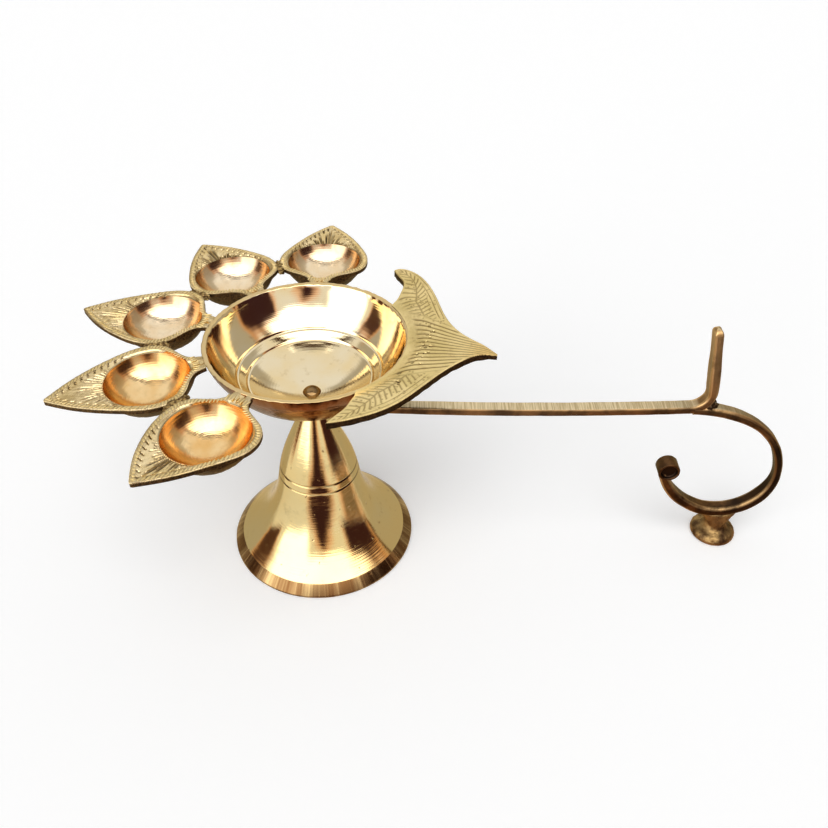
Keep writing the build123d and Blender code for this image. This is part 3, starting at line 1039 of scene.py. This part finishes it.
def tail():
    """The fish tail, from a smooth lip in the bowl's mouth out to its edge, chased with long lines to the
    tip, veins along the horns, punched dots and a few casting pits."""
    spread = np.linspace(-1, 1, 470)
    most = [min(outer[0][-1], inner[0][-1]) - 0.002 for outer, inner in TAIL_SIDES]
    angle = np.sign(spread) * np.abs(spread)**1.15 * np.where(spread < 0, *most)
    near, far = tail_edges(angle)
    shares = np.linspace(0, 1, 120)
    rows, columns = len(shares), len(angle)
    radius = near[None, :] + shares[:, None] * (far - near)[None, :]
    flat = polar(radius, angle).reshape(-1, 2)
    x, y = flat.T
    r = radius.reshape(-1)
    share = np.repeat(shares, columns)
    turn = np.tile(angle, rows)
    lip_lift = 0.04
    z = RIM + lip_lift + (TAIL_LIFT - lip_lift) * smoothstep(TAIL_LIP - 1.0, BOWL_RADIUS + 6.5, r)
    z -= TAIL_NOSE_DROP * smoothstep(TAIL_NOSE - 9, TAIL_NOSE, x)**2

    to_outer, _ = nearest(flat, polar(far, angle)[::2])
    to_inner, _ = nearest(flat, polar(near, angle)[near > BOWL_RADIUS + 1.0])
    to_edge = np.minimum(to_outer, to_inner)
    clear = smoothstep(BOWL_RADIUS + 0.6, BOWL_RADIUS + 2.8, r) * smoothstep(0.5, 1.1, to_edge)
    random = np.random.default_rng(9)
    dots = punched_dots(x, y, random)
    carve = clear * np.maximum(chased_lines(flat, turn, share, to_outer, to_inner), dots * 0.9)
    pits = casting_pits(x, y, random) * clear
    ease_depth, ease_width = TAIL_EDGE_EASE
    z -= carve * TAIL_CUT_DEPTH + pits * TAIL_PIT_DEPTH
    z -= ease_depth * ridge(to_edge, ease_width)**2 * (r > BOWL_RADIUS)
    z += unevenness(at_height(flat, 0), 9.0, 22) * 0.06 * clear
    warm = smoothstep(TAIL_REACH - 16, TAIL_REACH - 4, x) * 0.55
    marks = {"top": np.ones(len(x)), "carve": carve, "pit": pits, "warm": warm}
    top = at_height(flat, z)
    face = (spun(top, TAIL_TURN), grid_quads(rows, columns), marks)

    index = np.arange(rows * columns).reshape(rows, columns)
    ring = np.concatenate([index[0], index[1:, -1], index[-1, -2::-1], index[-2:0:-1, 0]])
    rim = top[ring]
    bottom = RIM + TAIL_LIFT - TAIL_THICKNESS
    low = np.minimum(bottom + 0.55, rim[:, 2] - 0.2) + unevenness(rim, 5.0, 23) * 0.15
    drops = (0.0, 0.12, 0.45, 0.8, 1.0)
    wall = [at_height(rim[:, :2], rim[:, 2] + (low - rim[:, 2]) * drop) for drop in drops]
    spine = polar(np.clip((near + far) / 2, BOWL_RADIUS, None), angle)[ring % columns]
    wall.append(at_height(spine, bottom))
    quads = grid_quads(len(wall), len(ring), closed=True)
    wall = np.concatenate(wall)
    return [face, (spun(wall, TAIL_TURN), quads, wall_marks(marks, len(wall), ring))]


# Bell foot, screw and button

def foot():
    """The hollow bell foot: bevelled base band, flowing side with two fine lines, and a solid crown."""
    ceiling = FOOT_TOP - CROWN_THICKNESS
    flow = [(across * FOOT_RADIUS, rise * FOOT_TOP) for across, rise in FOOT_SIDE]
    side = smooth_line([(BAND_RADIUS, BAND_HEIGHT), *flow, (CROWN_RADIUS, FOOT_TOP)], 260)
    for line in FOOT_LINES:
        side[:, 0] -= FOOT_LINE_DEPTH * ridge(side[:, 1] - line, FOOT_LINE_HALF_WIDTH)
    side = side[3:]
    hollow = [(radius - FOOT_WALL, height) for radius, height in flow[-2::-1]]
    inner = smooth_line([(7.5, ceiling), *hollow, (BAND_RADIUS - FOOT_WALL, BAND_HEIGHT)], 90)
    base_corners = (
        (FOOT_RADIUS - FOOT_WALL, 0),
        (FOOT_RADIUS, 0),
        (FOOT_RADIUS, 0.8),
        (BAND_RADIUS + 0.25, BAND_HEIGHT - 0.15),
    )
    base = rounded([inner[-1], *base_corners, side[0]], 0.5)
    crown = rounded([side[-1], (HOLE_RADIUS, FOOT_TOP), (HOLE_RADIUS, ceiling), inner[0]], 0.4)
    profile = np.concatenate([inner, base[1:-1], side, crown[1:]])
    heights = profile[:, 1]
    is_inside = np.zeros(len(profile))
    is_inside[:len(inner) + 3] = 1
    is_inside[-8:] = 1
    is_band = (1 - is_inside) * (heights < BAND_HEIGHT - 0.1)
    nearness = [1.3 - np.abs(heights - line) / FOOT_LINE_HALF_WIDTH for line in FOOT_LINES]
    is_line = np.clip(nearness, 0, 1).sum(0) * (1 - is_inside)
    points, quads, marks = turned(profile, 260, {"inside": is_inside, "band": is_band, "line": is_line})
    dents = np.abs(unevenness(points, 26.0, 31)) * 0.0022
    return drawn_in(points, dents * (1 - marks["inside"])), quads, marks


def screw():
    """The round-headed screw, with its shank down to the nut."""
    low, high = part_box("centre_screw")
    head_radius, head_top, bottom = high.x / MM, high.z / MM, low.z / MM
    head_height = head_top - BOWL_FLOOR
    shank_radius = 2.0
    chamfer = 0.4
    dome = cap_sphere(head_radius, head_height)
    reach = head_radius * quarter_shares(40)
    cap = np.column_stack([reach, head_top - dome + np.sqrt(dome**2 - reach**2)])
    corners = (
        (head_radius - 0.15, BOWL_FLOOR + 0.02),
        (shank_radius, BOWL_FLOOR),
        (shank_radius, bottom + chamfer),
        (shank_radius - chamfer, bottom),
        (0, bottom),
    )
    shank = rounded([cap[-1], *corners], 0.12)
    return turned(np.concatenate([cap, shank[1:]]), 64)


def button():
    """The cast button under the scroll: a domed foot, a waist, and a saddle that spreads along the scroll."""
    low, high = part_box("button_foot")
    radius = (high.x - low.x) / 2 / MM
    middle_x = (high.x + low.x) / 2 / MM
    neck = 4.8
    side = ((radius, 1.7), (radius - 1.0, 3.2), (6.4, 4.5), (neck + 0.2, 6.2), (neck, 8.5))
    dome = smooth_line([*side, (neck, SCROLL_LIFT - 1.6)], 70)
    base = rounded([(0, 0.0), (radius - 0.3, 0.0), (radius, 0.7), dome[0]], 0.5)
    top = smooth_line([dome[-1], (neck - 1.2, SCROLL_LIFT - 0.3), (0, SCROLL_LIFT - 0.1)], 16)
    points, quads, marks = turned(np.concatenate([base[:-1], dome, top[1:]]), 120)
    lift = smoothstep(7.0, SCROLL_LIFT - 0.5, points[:, 2])
    points[:, 0] *= 1 + 0.75 * lift
    points[:, 1] *= 1 - 0.22 * lift
    rough = unevenness(points, 6.0, 41) * 0.18 + unevenness(points, 1.9, 42) * 0.09
    points = drawn_in(points, np.abs(rough) * smoothstep(0.2, 1.6, points[:, 2]) / neck * 0.6)
    points[:, 0] += middle_x
    return points, quads, marks


# Geometry node trees: strokes in a row along a path, and a strip forged along a path

class Tree(Nodes):
    """A geometry node tree with named sizes."""

    def __init__(self, name, sizes):
        super().__init__(bpy.data.node_groups.new(name, "GeometryNodeTree"))
        face = self.tree.interface
        face.new_socket("Geometry", in_out="INPUT", socket_type="NodeSocketGeometry")
        face.new_socket("Geometry", in_out="OUTPUT", socket_type="NodeSocketGeometry")
        self.identifiers = {}
        for size in sizes:
            socket = face.new_socket(size, in_out="INPUT", socket_type="NodeSocketFloat")
            self.identifiers[size] = socket.identifier
        self.lines = self.node("NodeGroupInput")
        self.sizes = {size: self.lines.output(size) for size in sizes}

    def end(self, geometry, material):
        real = self.node("GeometryNodeRealizeInstances", {}, {0: geometry})
        smooth = self.node("GeometryNodeSetShadeSmooth", {}, {0: real})
        dressed = self.node("GeometryNodeSetMaterial", {}, {0: smooth, "Material": material})
        self.node("NodeGroupOutput", {}, {0: dressed})
        return self

    def store(self, geometry, name, value):
        """Keeps a value on the geometry's points."""
        settings = {"data_type": "FLOAT", "domain": "POINT"}
        sockets = {"Geometry": geometry, "Name": name, "Value": value}
        return self.node("GeometryNodeStoreNamedAttribute", settings, sockets)

    def grow(self, name, lines, sizes, widths=None):
        """Runs the tree on poly lines given in millimetres, whose points may have a width factor, and
        returns the result as a plain mesh."""
        curve = bpy.data.curves.new(name, "CURVE")
        curve.dimensions = "3D"
        for line in lines:
            spline = curve.splines.new("POLY")
            spline.points.add(len(line) - 1)
            places = np.column_stack([line * MM, np.ones(len(line))]).astype(np.float32)
            spline.points.foreach_set("co", places.ravel())
            if widths is not None:
                spline.points.foreach_set("radius", widths.astype(np.float32))
        holder = in_scene(name, curve)
        modifier = holder.modifiers.new(name, "NODES")
        modifier.node_group = self.tree
        for size, value in sizes.items():
            modifier[self.identifiers[size]] = value
        bpy.context.view_layer.update()
        evaluated = holder.evaluated_get(bpy.context.evaluated_depsgraph_get())
        mesh = bpy.data.meshes.new_from_object(evaluated)
        bpy.data.objects.remove(holder)
        bpy.data.curves.remove(curve)
        return mesh


def stroke_row_tree(material):
    """Small chased strokes in a row along a curve, each leaning from the curve by the slant."""
    tree = Tree("stroke_row", ("Spacing", "Length", "Width", "Height", "Slant"))
    sizes = tree.sizes
    spaced = {"Curve": tree.lines, "Length": sizes["Spacing"]}
    row = tree.node("GeometryNodeResampleCurve", {"mode": "LENGTH"}, spaced)
    bead = tree.node("GeometryNodeMeshUVSphere", {}, {"Segments": 8, "Rings": 6, "Radius": 0.5})
    shape = {0: sizes["Length"], 1: sizes["Width"], 2: sizes["Height"]}
    scale = tree.node("ShaderNodeCombineXYZ", {}, shape)
    shaped = tree.node("GeometryNodeTransform", {}, {"Geometry": bead, "Scale": scale})
    along = {"Vector": tree.node("GeometryNodeInputTangent")}
    facing = tree.node("FunctionNodeAlignRotationToVector", {"axis": "X", "pivot_axis": "Z"}, along)
    slanted = {"Axis": (0.0, 0.0, 1.0), "Angle": sizes["Slant"]}
    lean = tree.node("FunctionNodeAxisAngleToRotation", {}, slanted)
    leaning = {"Rotation": facing, "Rotate By": lean}
    rotation = tree.node("FunctionNodeRotateRotation", {"rotation_space": "LOCAL"}, leaning)
    limits = {2: 0.72, 3: 1.12, "Seed": 12}
    vary = tree.node("FunctionNodeRandomValue", {"data_type": "FLOAT"}, limits, output=1)
    sockets = {"Points": row, "Instance": shaped, "Rotation": rotation, "Scale": vary}
    return tree.end(tree.node("GeometryNodeInstanceOnPoints", {}, sockets), material)


def forged_strip_tree(material):
    """A flat strip with rounded edges that follows a curve lying in the XZ plane, a little uneven as
    forged work is. It keeps the way along the curve and the nearness to an edge for the finish."""
    tree = Tree("forged_strip", ("Width", "Thickness", "Edge", "Unevenness"))
    sizes = tree.sizes
    sideways = {"Curve": tree.lines, "Normal": (0.0, 1.0, 0.0)}
    upright = tree.node("GeometryNodeSetCurveNormal", {"mode": "FREE"}, sideways)
    way = tree.node("GeometryNodeSplineParameter", output="Length")
    oblong = {"Width": sizes["Width"], "Height": sizes["Thickness"]}
    section = tree.node("GeometryNodeCurvePrimitiveQuadrilateral", {}, oblong)
    rounding = {"Curve": section, "Radius": sizes["Edge"], "Count": 6}
    soft = tree.node("GeometryNodeFilletCurve", {"mode": "POLY"}, rounding)
    fine = tree.node("GeometryNodeResampleCurve", {}, {"Curve": soft, "Count": 48})
    place = tree.node("GeometryNodeInputPosition")
    across, up, _ = tree.axes(place)
    wide = across.math("ABSOLUTE") / sizes["Width"]
    thick = up.math("ABSOLUTE") / sizes["Thickness"]
    swept = tree.node(
        "GeometryNodeCurveToMesh",
        {},
        {
            "Curve": tree.store(upright, "along", way),
            "Profile Curve": tree.store(fine, "edge", wide * thick * 4.0),
            "Scale": tree.node("GeometryNodeInputRadius"),
            "Fill Caps": True,
        },
    )
    hammer = tree.node("ShaderNodeTexNoise", {}, {"Vector": place, "Scale": 110.0, "Detail": 3.0})
    inward = {0: tree.node("GeometryNodeInputNormal"), "Scale": (hammer - 0.8) * sizes["Unevenness"]}
    push = tree.node("ShaderNodeVectorMath", {"operation": "SCALE"}, inward)
    worked = tree.node("GeometryNodeSetPosition", {}, {"Geometry": swept, "Offset": push})
    return tree.end(worked, material)


# Handle

def arc_between(start, end, heading, count):
    """Points of the arc that leaves start along heading and reaches end, and its heading there."""
    start, end = np.array(start, float), np.array(end, float)
    heading = np.array(heading, float) / np.linalg.norm(heading)
    chord = end - start
    side = np.array([-heading[1], heading[0]])
    if abs(chord @ side) < 1e-9:
        return np.linspace(start, end, count), heading
    radius = chord @ chord / (2 * (chord @ side))
    middle = start + side * radius
    first = math.atan2(*(start - middle)[::-1])
    sweep = 2 * math.atan2(chord @ side, chord @ heading)
    points = middle + polar(abs(radius), first + np.linspace(0, sweep, count))
    return points, math.cos(sweep) * heading + math.sin(sweep) * side


def arc_chain(points, heading, count=60):
    """A run of arcs through points of the XZ plane, each leaving as the last one arrived, in space."""
    line = [np.array([points[0]], float)]
    for start, end in zip(points, points[1:]):
        arc, heading = arc_between(start, end, heading, count)
        line.append(arc[1:])
    flat = np.concatenate(line)
    return np.column_stack([flat[:, 0], np.zeros(len(flat)), flat[:, 1]])


def bar_line():
    """The middle of the bar from inside its eye to the top of the thumb rest."""
    level = BAR_TOP - BAR_THICKNESS / 2
    flat_end = (BOSS_RADIUS + BAR_THICKNESS / 2, level)
    bend_start = (HANDLE_REACH - BEND_RUN, level)
    bend_end = (HANDLE_REACH, level + BEND_RISE)
    thumb_top = (HANDLE_REACH - THUMB_LEAN, level + THUMB_HEIGHT + BAR_THICKNESS / 2 - THUMB_ROUND)
    dip = math.atan2(4 * BAR_SAG, bend_start[0] - flat_end[0])
    first = np.array([[4.0, 0.0, level], [flat_end[0], 0.0, level]])
    rest = arc_chain([flat_end, bend_start, bend_end, thumb_top], (math.cos(dip), -math.sin(dip)))
    line = even_line(np.concatenate([first, rest[1:]]), 420)
    ahead = (line[-1] - line[-2]) / np.linalg.norm(line[-1] - line[-2])
    cap = THUMB_ROUND * quarter_shares(THUMB_STEPS + 1)[1:, None]
    return np.concatenate([line, line[-1] + ahead * cap])


def bar_widths(line):
    """Width factors along the bar: slim between boss and crown, then full, with a rounded end."""
    slim = 1 - smoothstep(BOSS_RADIUS + 1, BOSS_RADIUS + 4, line[:, 0])
    past = np.clip(lengths(line - line[-THUMB_STEPS - 1]) / THUMB_ROUND, 0, 1)
    past[:-THUMB_STEPS] = 0
    rise = line[:, 2] - BAR_TOP
    swell = 1 + 0.14 * smoothstep(3, 10, rise) * (1 - smoothstep(16, 30, rise))
    full = np.maximum(np.sqrt(1 - past**2), 0.12) * swell
    return full * (1 - slim * (1 - BAR_THICKNESS / BAR_STRIP["Thickness"]))


def scroll_line():
    """The middle of the scroll from the bend to the far side of its knob."""
    half_thickness = SCROLL_STRIP["Thickness"] / 2
    level = BAR_TOP - half_thickness
    start = (HANDLE_REACH - BEND_RUN + BAR_THICKNESS / 2, level)
    reach = HANDLE_REACH + SCROLL_REACH - start[0]
    drop = level - SCROLL_LIFT
    bends = [(start[0] + across * reach, level - fall * drop) for across, fall in SCROLL_BENDS]
    rise = (start[0] + SCROLL_RISE[0] * reach, SCROLL_LIFT + SCROLL_RISE[1] * KNOB_RISE)
    end = (KNOB_MIDDLE[0] - KNOB_RADIUS + half_thickness, KNOB_MIDDLE[2])
    return even_line(arc_chain([start, *bends, rise, end], (1.0, 0.0)), 360)


def scroll_widths(line):
    """Width factors along the scroll: stouter at the bend and along its low run, slim inside its knob."""
    share = np.linspace(0, 1, len(line))
    first_run = 0.20 * (1 - smoothstep(0.10, 0.26, share))
    low_run = 0.35 * smoothstep(0.44, 0.58, share) * (1 - smoothstep(0.86, 1.0, share))
    return (0.97 + first_run + low_run) * (1 - 0.32 * smoothstep(0.965, 0.99, share))


def knob_part():
    """The rolled end of the scroll, a short drum whose face hollows are painted dark as shade, the rest a
    little darker.
    """
    half = KNOB_WIDTH / 2
    bottom = half - 1.5
    lip = KNOB_HOLLOW + 0.35
    face = [(KNOB_RADIUS, half), (lip, half), (KNOB_HOLLOW, bottom), (0, bottom)]
    profile = rounded([(radius, -level) for radius, level in reversed(face)] + face, 1.0)
    shaded_hollow = (profile[:, 0] < lip) & (np.abs(profile[:, 1]) < half - 0.2)
    # The hollows get painted shade at full strength, and the rest of the drum gets a little.
    points, quads, marks = turned(profile, 72, {"hollow": np.where(shaded_hollow, 1.0, 0.35)})
    points = points[:, [0, 2, 1]]
    points *= 1 - np.abs(unevenness(points, 3.4, 51))[:, None] * 0.02
    return points + KNOB_MIDDLE, quads, marks


def bend_lump():
    """The lump of braze that fills the corner between the thumb rest and the scroll."""
    points, quads = rough_ball((3.6, 2.6, 2.7), 30, 56, ((0.08, 2.0, 61), (0.04, 0.7, 62)))
    points += np.array([HANDLE_REACH + 0.4, 0, BAR_TOP - 0.5])
    return points, quads, {"hollow": np.full(len(points), 0.7)}


def eye_part():
    """The ring at the bar's end, clamped between the bowl's boss and the foot's crown."""
    clearance = 0.02
    top, bottom = BAR_TOP - clearance, FOOT_TOP + clearance
    corners = [(HOLE_RADIUS, bottom), (EYE_RADIUS, bottom), (EYE_RADIUS, top), (HOLE_RADIUS, top)]
    return turned(rounded([*corners, corners[0]], 0.5), 96)


def with_parts(mesh, parts):
    """The mesh with parts added, and with the upward share of its normals kept as a mark."""
    cleaned(mesh, part_mesh("extra", parts))
    facing = np.zeros(len(mesh.vertices) * 3, np.float32)
    mesh.vertices.foreach_get("normal", facing)
    keep_mark(mesh, "upward", facing[2::3])
    return mesh


# The lamp

leaf_finish = chased_leaf()
handle_finish = forged_handle()
bead_finish = border_beads()

make_piece("bowl", [bowl()], polished_bowl(), "dish", ["centre_bowl"])
for number in LEAF_NUMBERS:
    make_piece(f"leaf_{number}", leaf(number), leaf_finish, "dish", [f"leaf_cup_{number}"])
make_piece("braze_lumps", braze_lumps(), braze(), "dish")
make_piece("tail", tail(), chased_tail(), "dish", ["tail_plate"])
make_piece("foot", [foot()], turned_foot(), "foot", ["bell_foot"])
make_piece("screw", [screw()], screw_brass(), "dish", ["centre_screw"])
make_piece("button", [button()], cast_button(), "handle", ["button_foot"])

point_lines, hip_lines, neck_lines = border_paths()
strokes = stroke_row_tree(bead_finish)
stroke_rows = (
    ("leaf_point_strokes", point_lines, 1.45, 2.2, 0.90, 0.30, 48),
    ("leaf_hip_strokes", hip_lines, 1.20, 2.2, 0.80, 0.38, 74),
    ("leaf_neck_ribs", neck_lines, 1.15, 3.4, 0.75, 0.46, 90),
)
for name, lines, spacing, length, width, height, slant in stroke_rows:
    sizes = {"Spacing": spacing * MM, "Length": length * MM, "Width": width * MM, "Height": height * MM}
    row = strokes.grow(name, lines, {**sizes, "Slant": math.radians(slant)})
    adopt(name, row, bead_finish, "dish")

strip = forged_strip_tree(handle_finish)
strips = (
    ("bar", BAR_STRIP, bar_line(), bar_widths, [eye_part()], "handle_bar"),
    ("scroll", SCROLL_STRIP, scroll_line(), scroll_widths, [knob_part(), bend_lump()], "finger_scroll"),
)
for name, sizes, line, widths, parts, node in strips:
    sizes_in_metres = {size: value * MM for size, value in sizes.items()}
    mesh = with_parts(strip.grow(name, [line], sizes_in_metres, widths(line)), parts)
    adopt(name, mesh, handle_finish, "handle", [node])

zinc = zinc_steel()
for node in ("foot_washer", "foot_nut"):
    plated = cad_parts[node].data
    plated.materials.clear()
    plated.materials.append(zinc)


# Floor, light and camera

def stage_piece(name, points, quads, marks, material):
    """A stage surface with points in metres."""
    mesh = plain_mesh(name, points, quads, marks)
    mesh.materials.append(material)
    card = in_scene(name, mesh)
    return card


def pale_floor():
    """A matt floor that glows a little where it is seen or mirrored, so that white stays white."""
    surface = Surface("pale_floor")
    material = surface.shade({
        "Base Color": grey(FLOOR_PALENESS),
        "Roughness": 0.9,
        "Specular IOR Level": 0.0,
        "Emission Color": surface.blend(surface.shown_ray(), BLACK, grey(FLOOR_GLOW)),
        "Emission Strength": 1.0,
    })
    corners = np.array([(-1, -1, 0), (1, -1, 0), (1, 1, 0), (-1, 1, 0)]) * FLOOR_REACH
    stage_piece("floor", corners + np.array([0, 0, FLOOR_LEVEL]), np.array([[0, 1, 2, 3]]), {}, material)


def towards(azimuth, elevation):
    """Unit vectors from the lamp, with azimuth 0 towards the camera and more to the right, in radians."""
    out = np.cos(elevation)
    return np.stack([np.sin(azimuth) * out, -np.cos(azimuth) * out, np.sin(elevation)], -1)


def over_beam(azimuth, elevation):
    """The same for a band over the lamp from left to right: elevation turns it about the X axis."""
    out = np.cos(azimuth)
    return np.stack([np.sin(azimuth), -out * np.cos(elevation), out * np.sin(elevation)], -1)


def room_card(name, azimuths, elevations, colour, soft, widths=(1, 1), far=1.6, fringe=None, way=towards):
    """Part of the room round the lamp, seen only in reflections, with soft edges and perhaps a fringe of
    another colour. Angles are in degrees, and the way turns them into directions. Widths are shares at the
    card's foot and at its top."""
    surface = Surface(name)
    cover = surface.mark("cover")
    if fringe:
        colour = surface.blend(cover.step(0.5, 1.0, "LINEAR"), fringe, colour)
    material = surface.shade({
        "Base Color": BLACK,
        "Specular IOR Level": 0.0,
        "Emission Color": colour,
        "Emission Strength": 1.0,
        "Alpha": cover,
    })
    columns, rows = 61, 41
    grid = np.meshgrid(np.linspace(-1, 1, columns), np.linspace(0, 1, rows))
    across, up = (part.reshape(-1) for part in grid)
    azimuth = np.radians(sum(azimuths) / 2 + across * (azimuths[1] - azimuths[0]) / 2)
    out = way(azimuth, np.radians(elevations[0] + up * (elevations[1] - elevations[0])))
    reach = np.full(len(out), far)
    below = out[:, 2] < 0
    reach[below] = np.minimum(far, (FLOOR_SHADE_LEVEL - LAMP_MIDDLE) / out[below, 2])
    points = out * reach[:, None] + np.array([0, 0, LAMP_MIDDLE])
    wander = unevenness(out, 0.35, 71) * 0.05
    from_side = widths[0] + (widths[1] - widths[0]) * up - np.abs(across) + wander
    from_end = np.minimum(up, 1 - up) * 2 + wander
    marks = {"cover": smoothstep(0, soft, from_side) * smoothstep(0, soft, from_end)}
    card = stage_piece(name, points, grid_quads(rows, columns), marks, material)
    card.visible_camera = False
    card.visible_diffuse = False
    card.visible_shadow = False


def soft_light(name, azimuth, elevation, spread, radiance):
    """A far soft light as wide as spread, from a direction, all in degrees."""
    light = bpy.data.lights.new(name, "SUN")
    light.angle = math.radians(spread)
    light.energy = radiance * math.pi * math.sin(light.angle / 2)**2
    lamp = in_scene(name, light)
    lamp.rotation_mode = "QUATERNION"
    out = Vector(towards(math.radians(azimuth), math.radians(elevation)))
    lamp.rotation_quaternion = out.to_track_quat("Z", "Y")
    lamp.visible_glossy = False


def white_world():
    """White to the camera and in reflections, and dimmer as a light."""
    world = bpy.data.worlds.new("studio")
    world.use_nodes = True
    nodes = Nodes(world.node_tree)
    colour = nodes.blend(nodes.shown_ray(), grey(WORLD_LIGHT), WHITE)
    nodes.feed(world.node_tree.nodes["Background"], {"Color": colour, "Strength": 1.0})
    bpy.context.scene.world = world


pale_floor()
soft_light("over_front", 0, 60, 52, 2.2)
soft_light("left_front", -45, 22, 44, 2.2)
room_card("over_window", (-80, 80), (29, 75), BRIGHT_WINDOW, 0.25, far=1.8)
room_card("left_window", (-74, -18), (-6, 50), BRIGHT_WINDOW, 0.25, far=1.75)
room_card("over_gap", (-58, 58), (71, 82), rgb(0.10, 0.06, 0.04), 0.3, way=over_beam)
room_card("front_shade", (-40, 48), (-64, 36), DARK_ROOM, 0.35, (0.95, 0.30), fringe=AMBER_FRINGE)
room_card("right_shade", (38, 98), (-34, 44), DARK_ROOM, 0.35, fringe=AMBER_FRINGE)
room_card("right_floor_shade", (44, 98), (-60, -16), rgb(0.25, 0.18, 0.12), 0.6, fringe=AMBER_FRINGE)
room_card("left_shade", (-101, -75), (-22, 36), rgb(0.10, 0.045, 0.03), 0.4, fringe=AMBER_FRINGE)
room_card("right_wall", (86, 160), (-64, 42), GREY_ROOM, 0.15, far=1.7)
room_card("left_wall", (-160, -92), (-64, 42), GREY_ROOM, 0.15, far=1.7)
white_world()

camera_data = bpy.data.cameras.new("camera")
camera_data.sensor_width = CAMERA_SENSOR_MM
camera_data.lens = CAMERA_LENS_MM
camera = in_scene("camera", camera_data)
camera.location = CAMERA_PLACE
camera.rotation_mode = "QUATERNION"
aim = (CAMERA_TARGET - CAMERA_PLACE).to_track_quat("-Z", "Y")
camera.rotation_quaternion = aim @ Quaternion((0, 0, 1), CAMERA_ROLL)
bpy.context.scene.camera = camera
bpy.context.scene.view_settings.view_transform = "Standard"
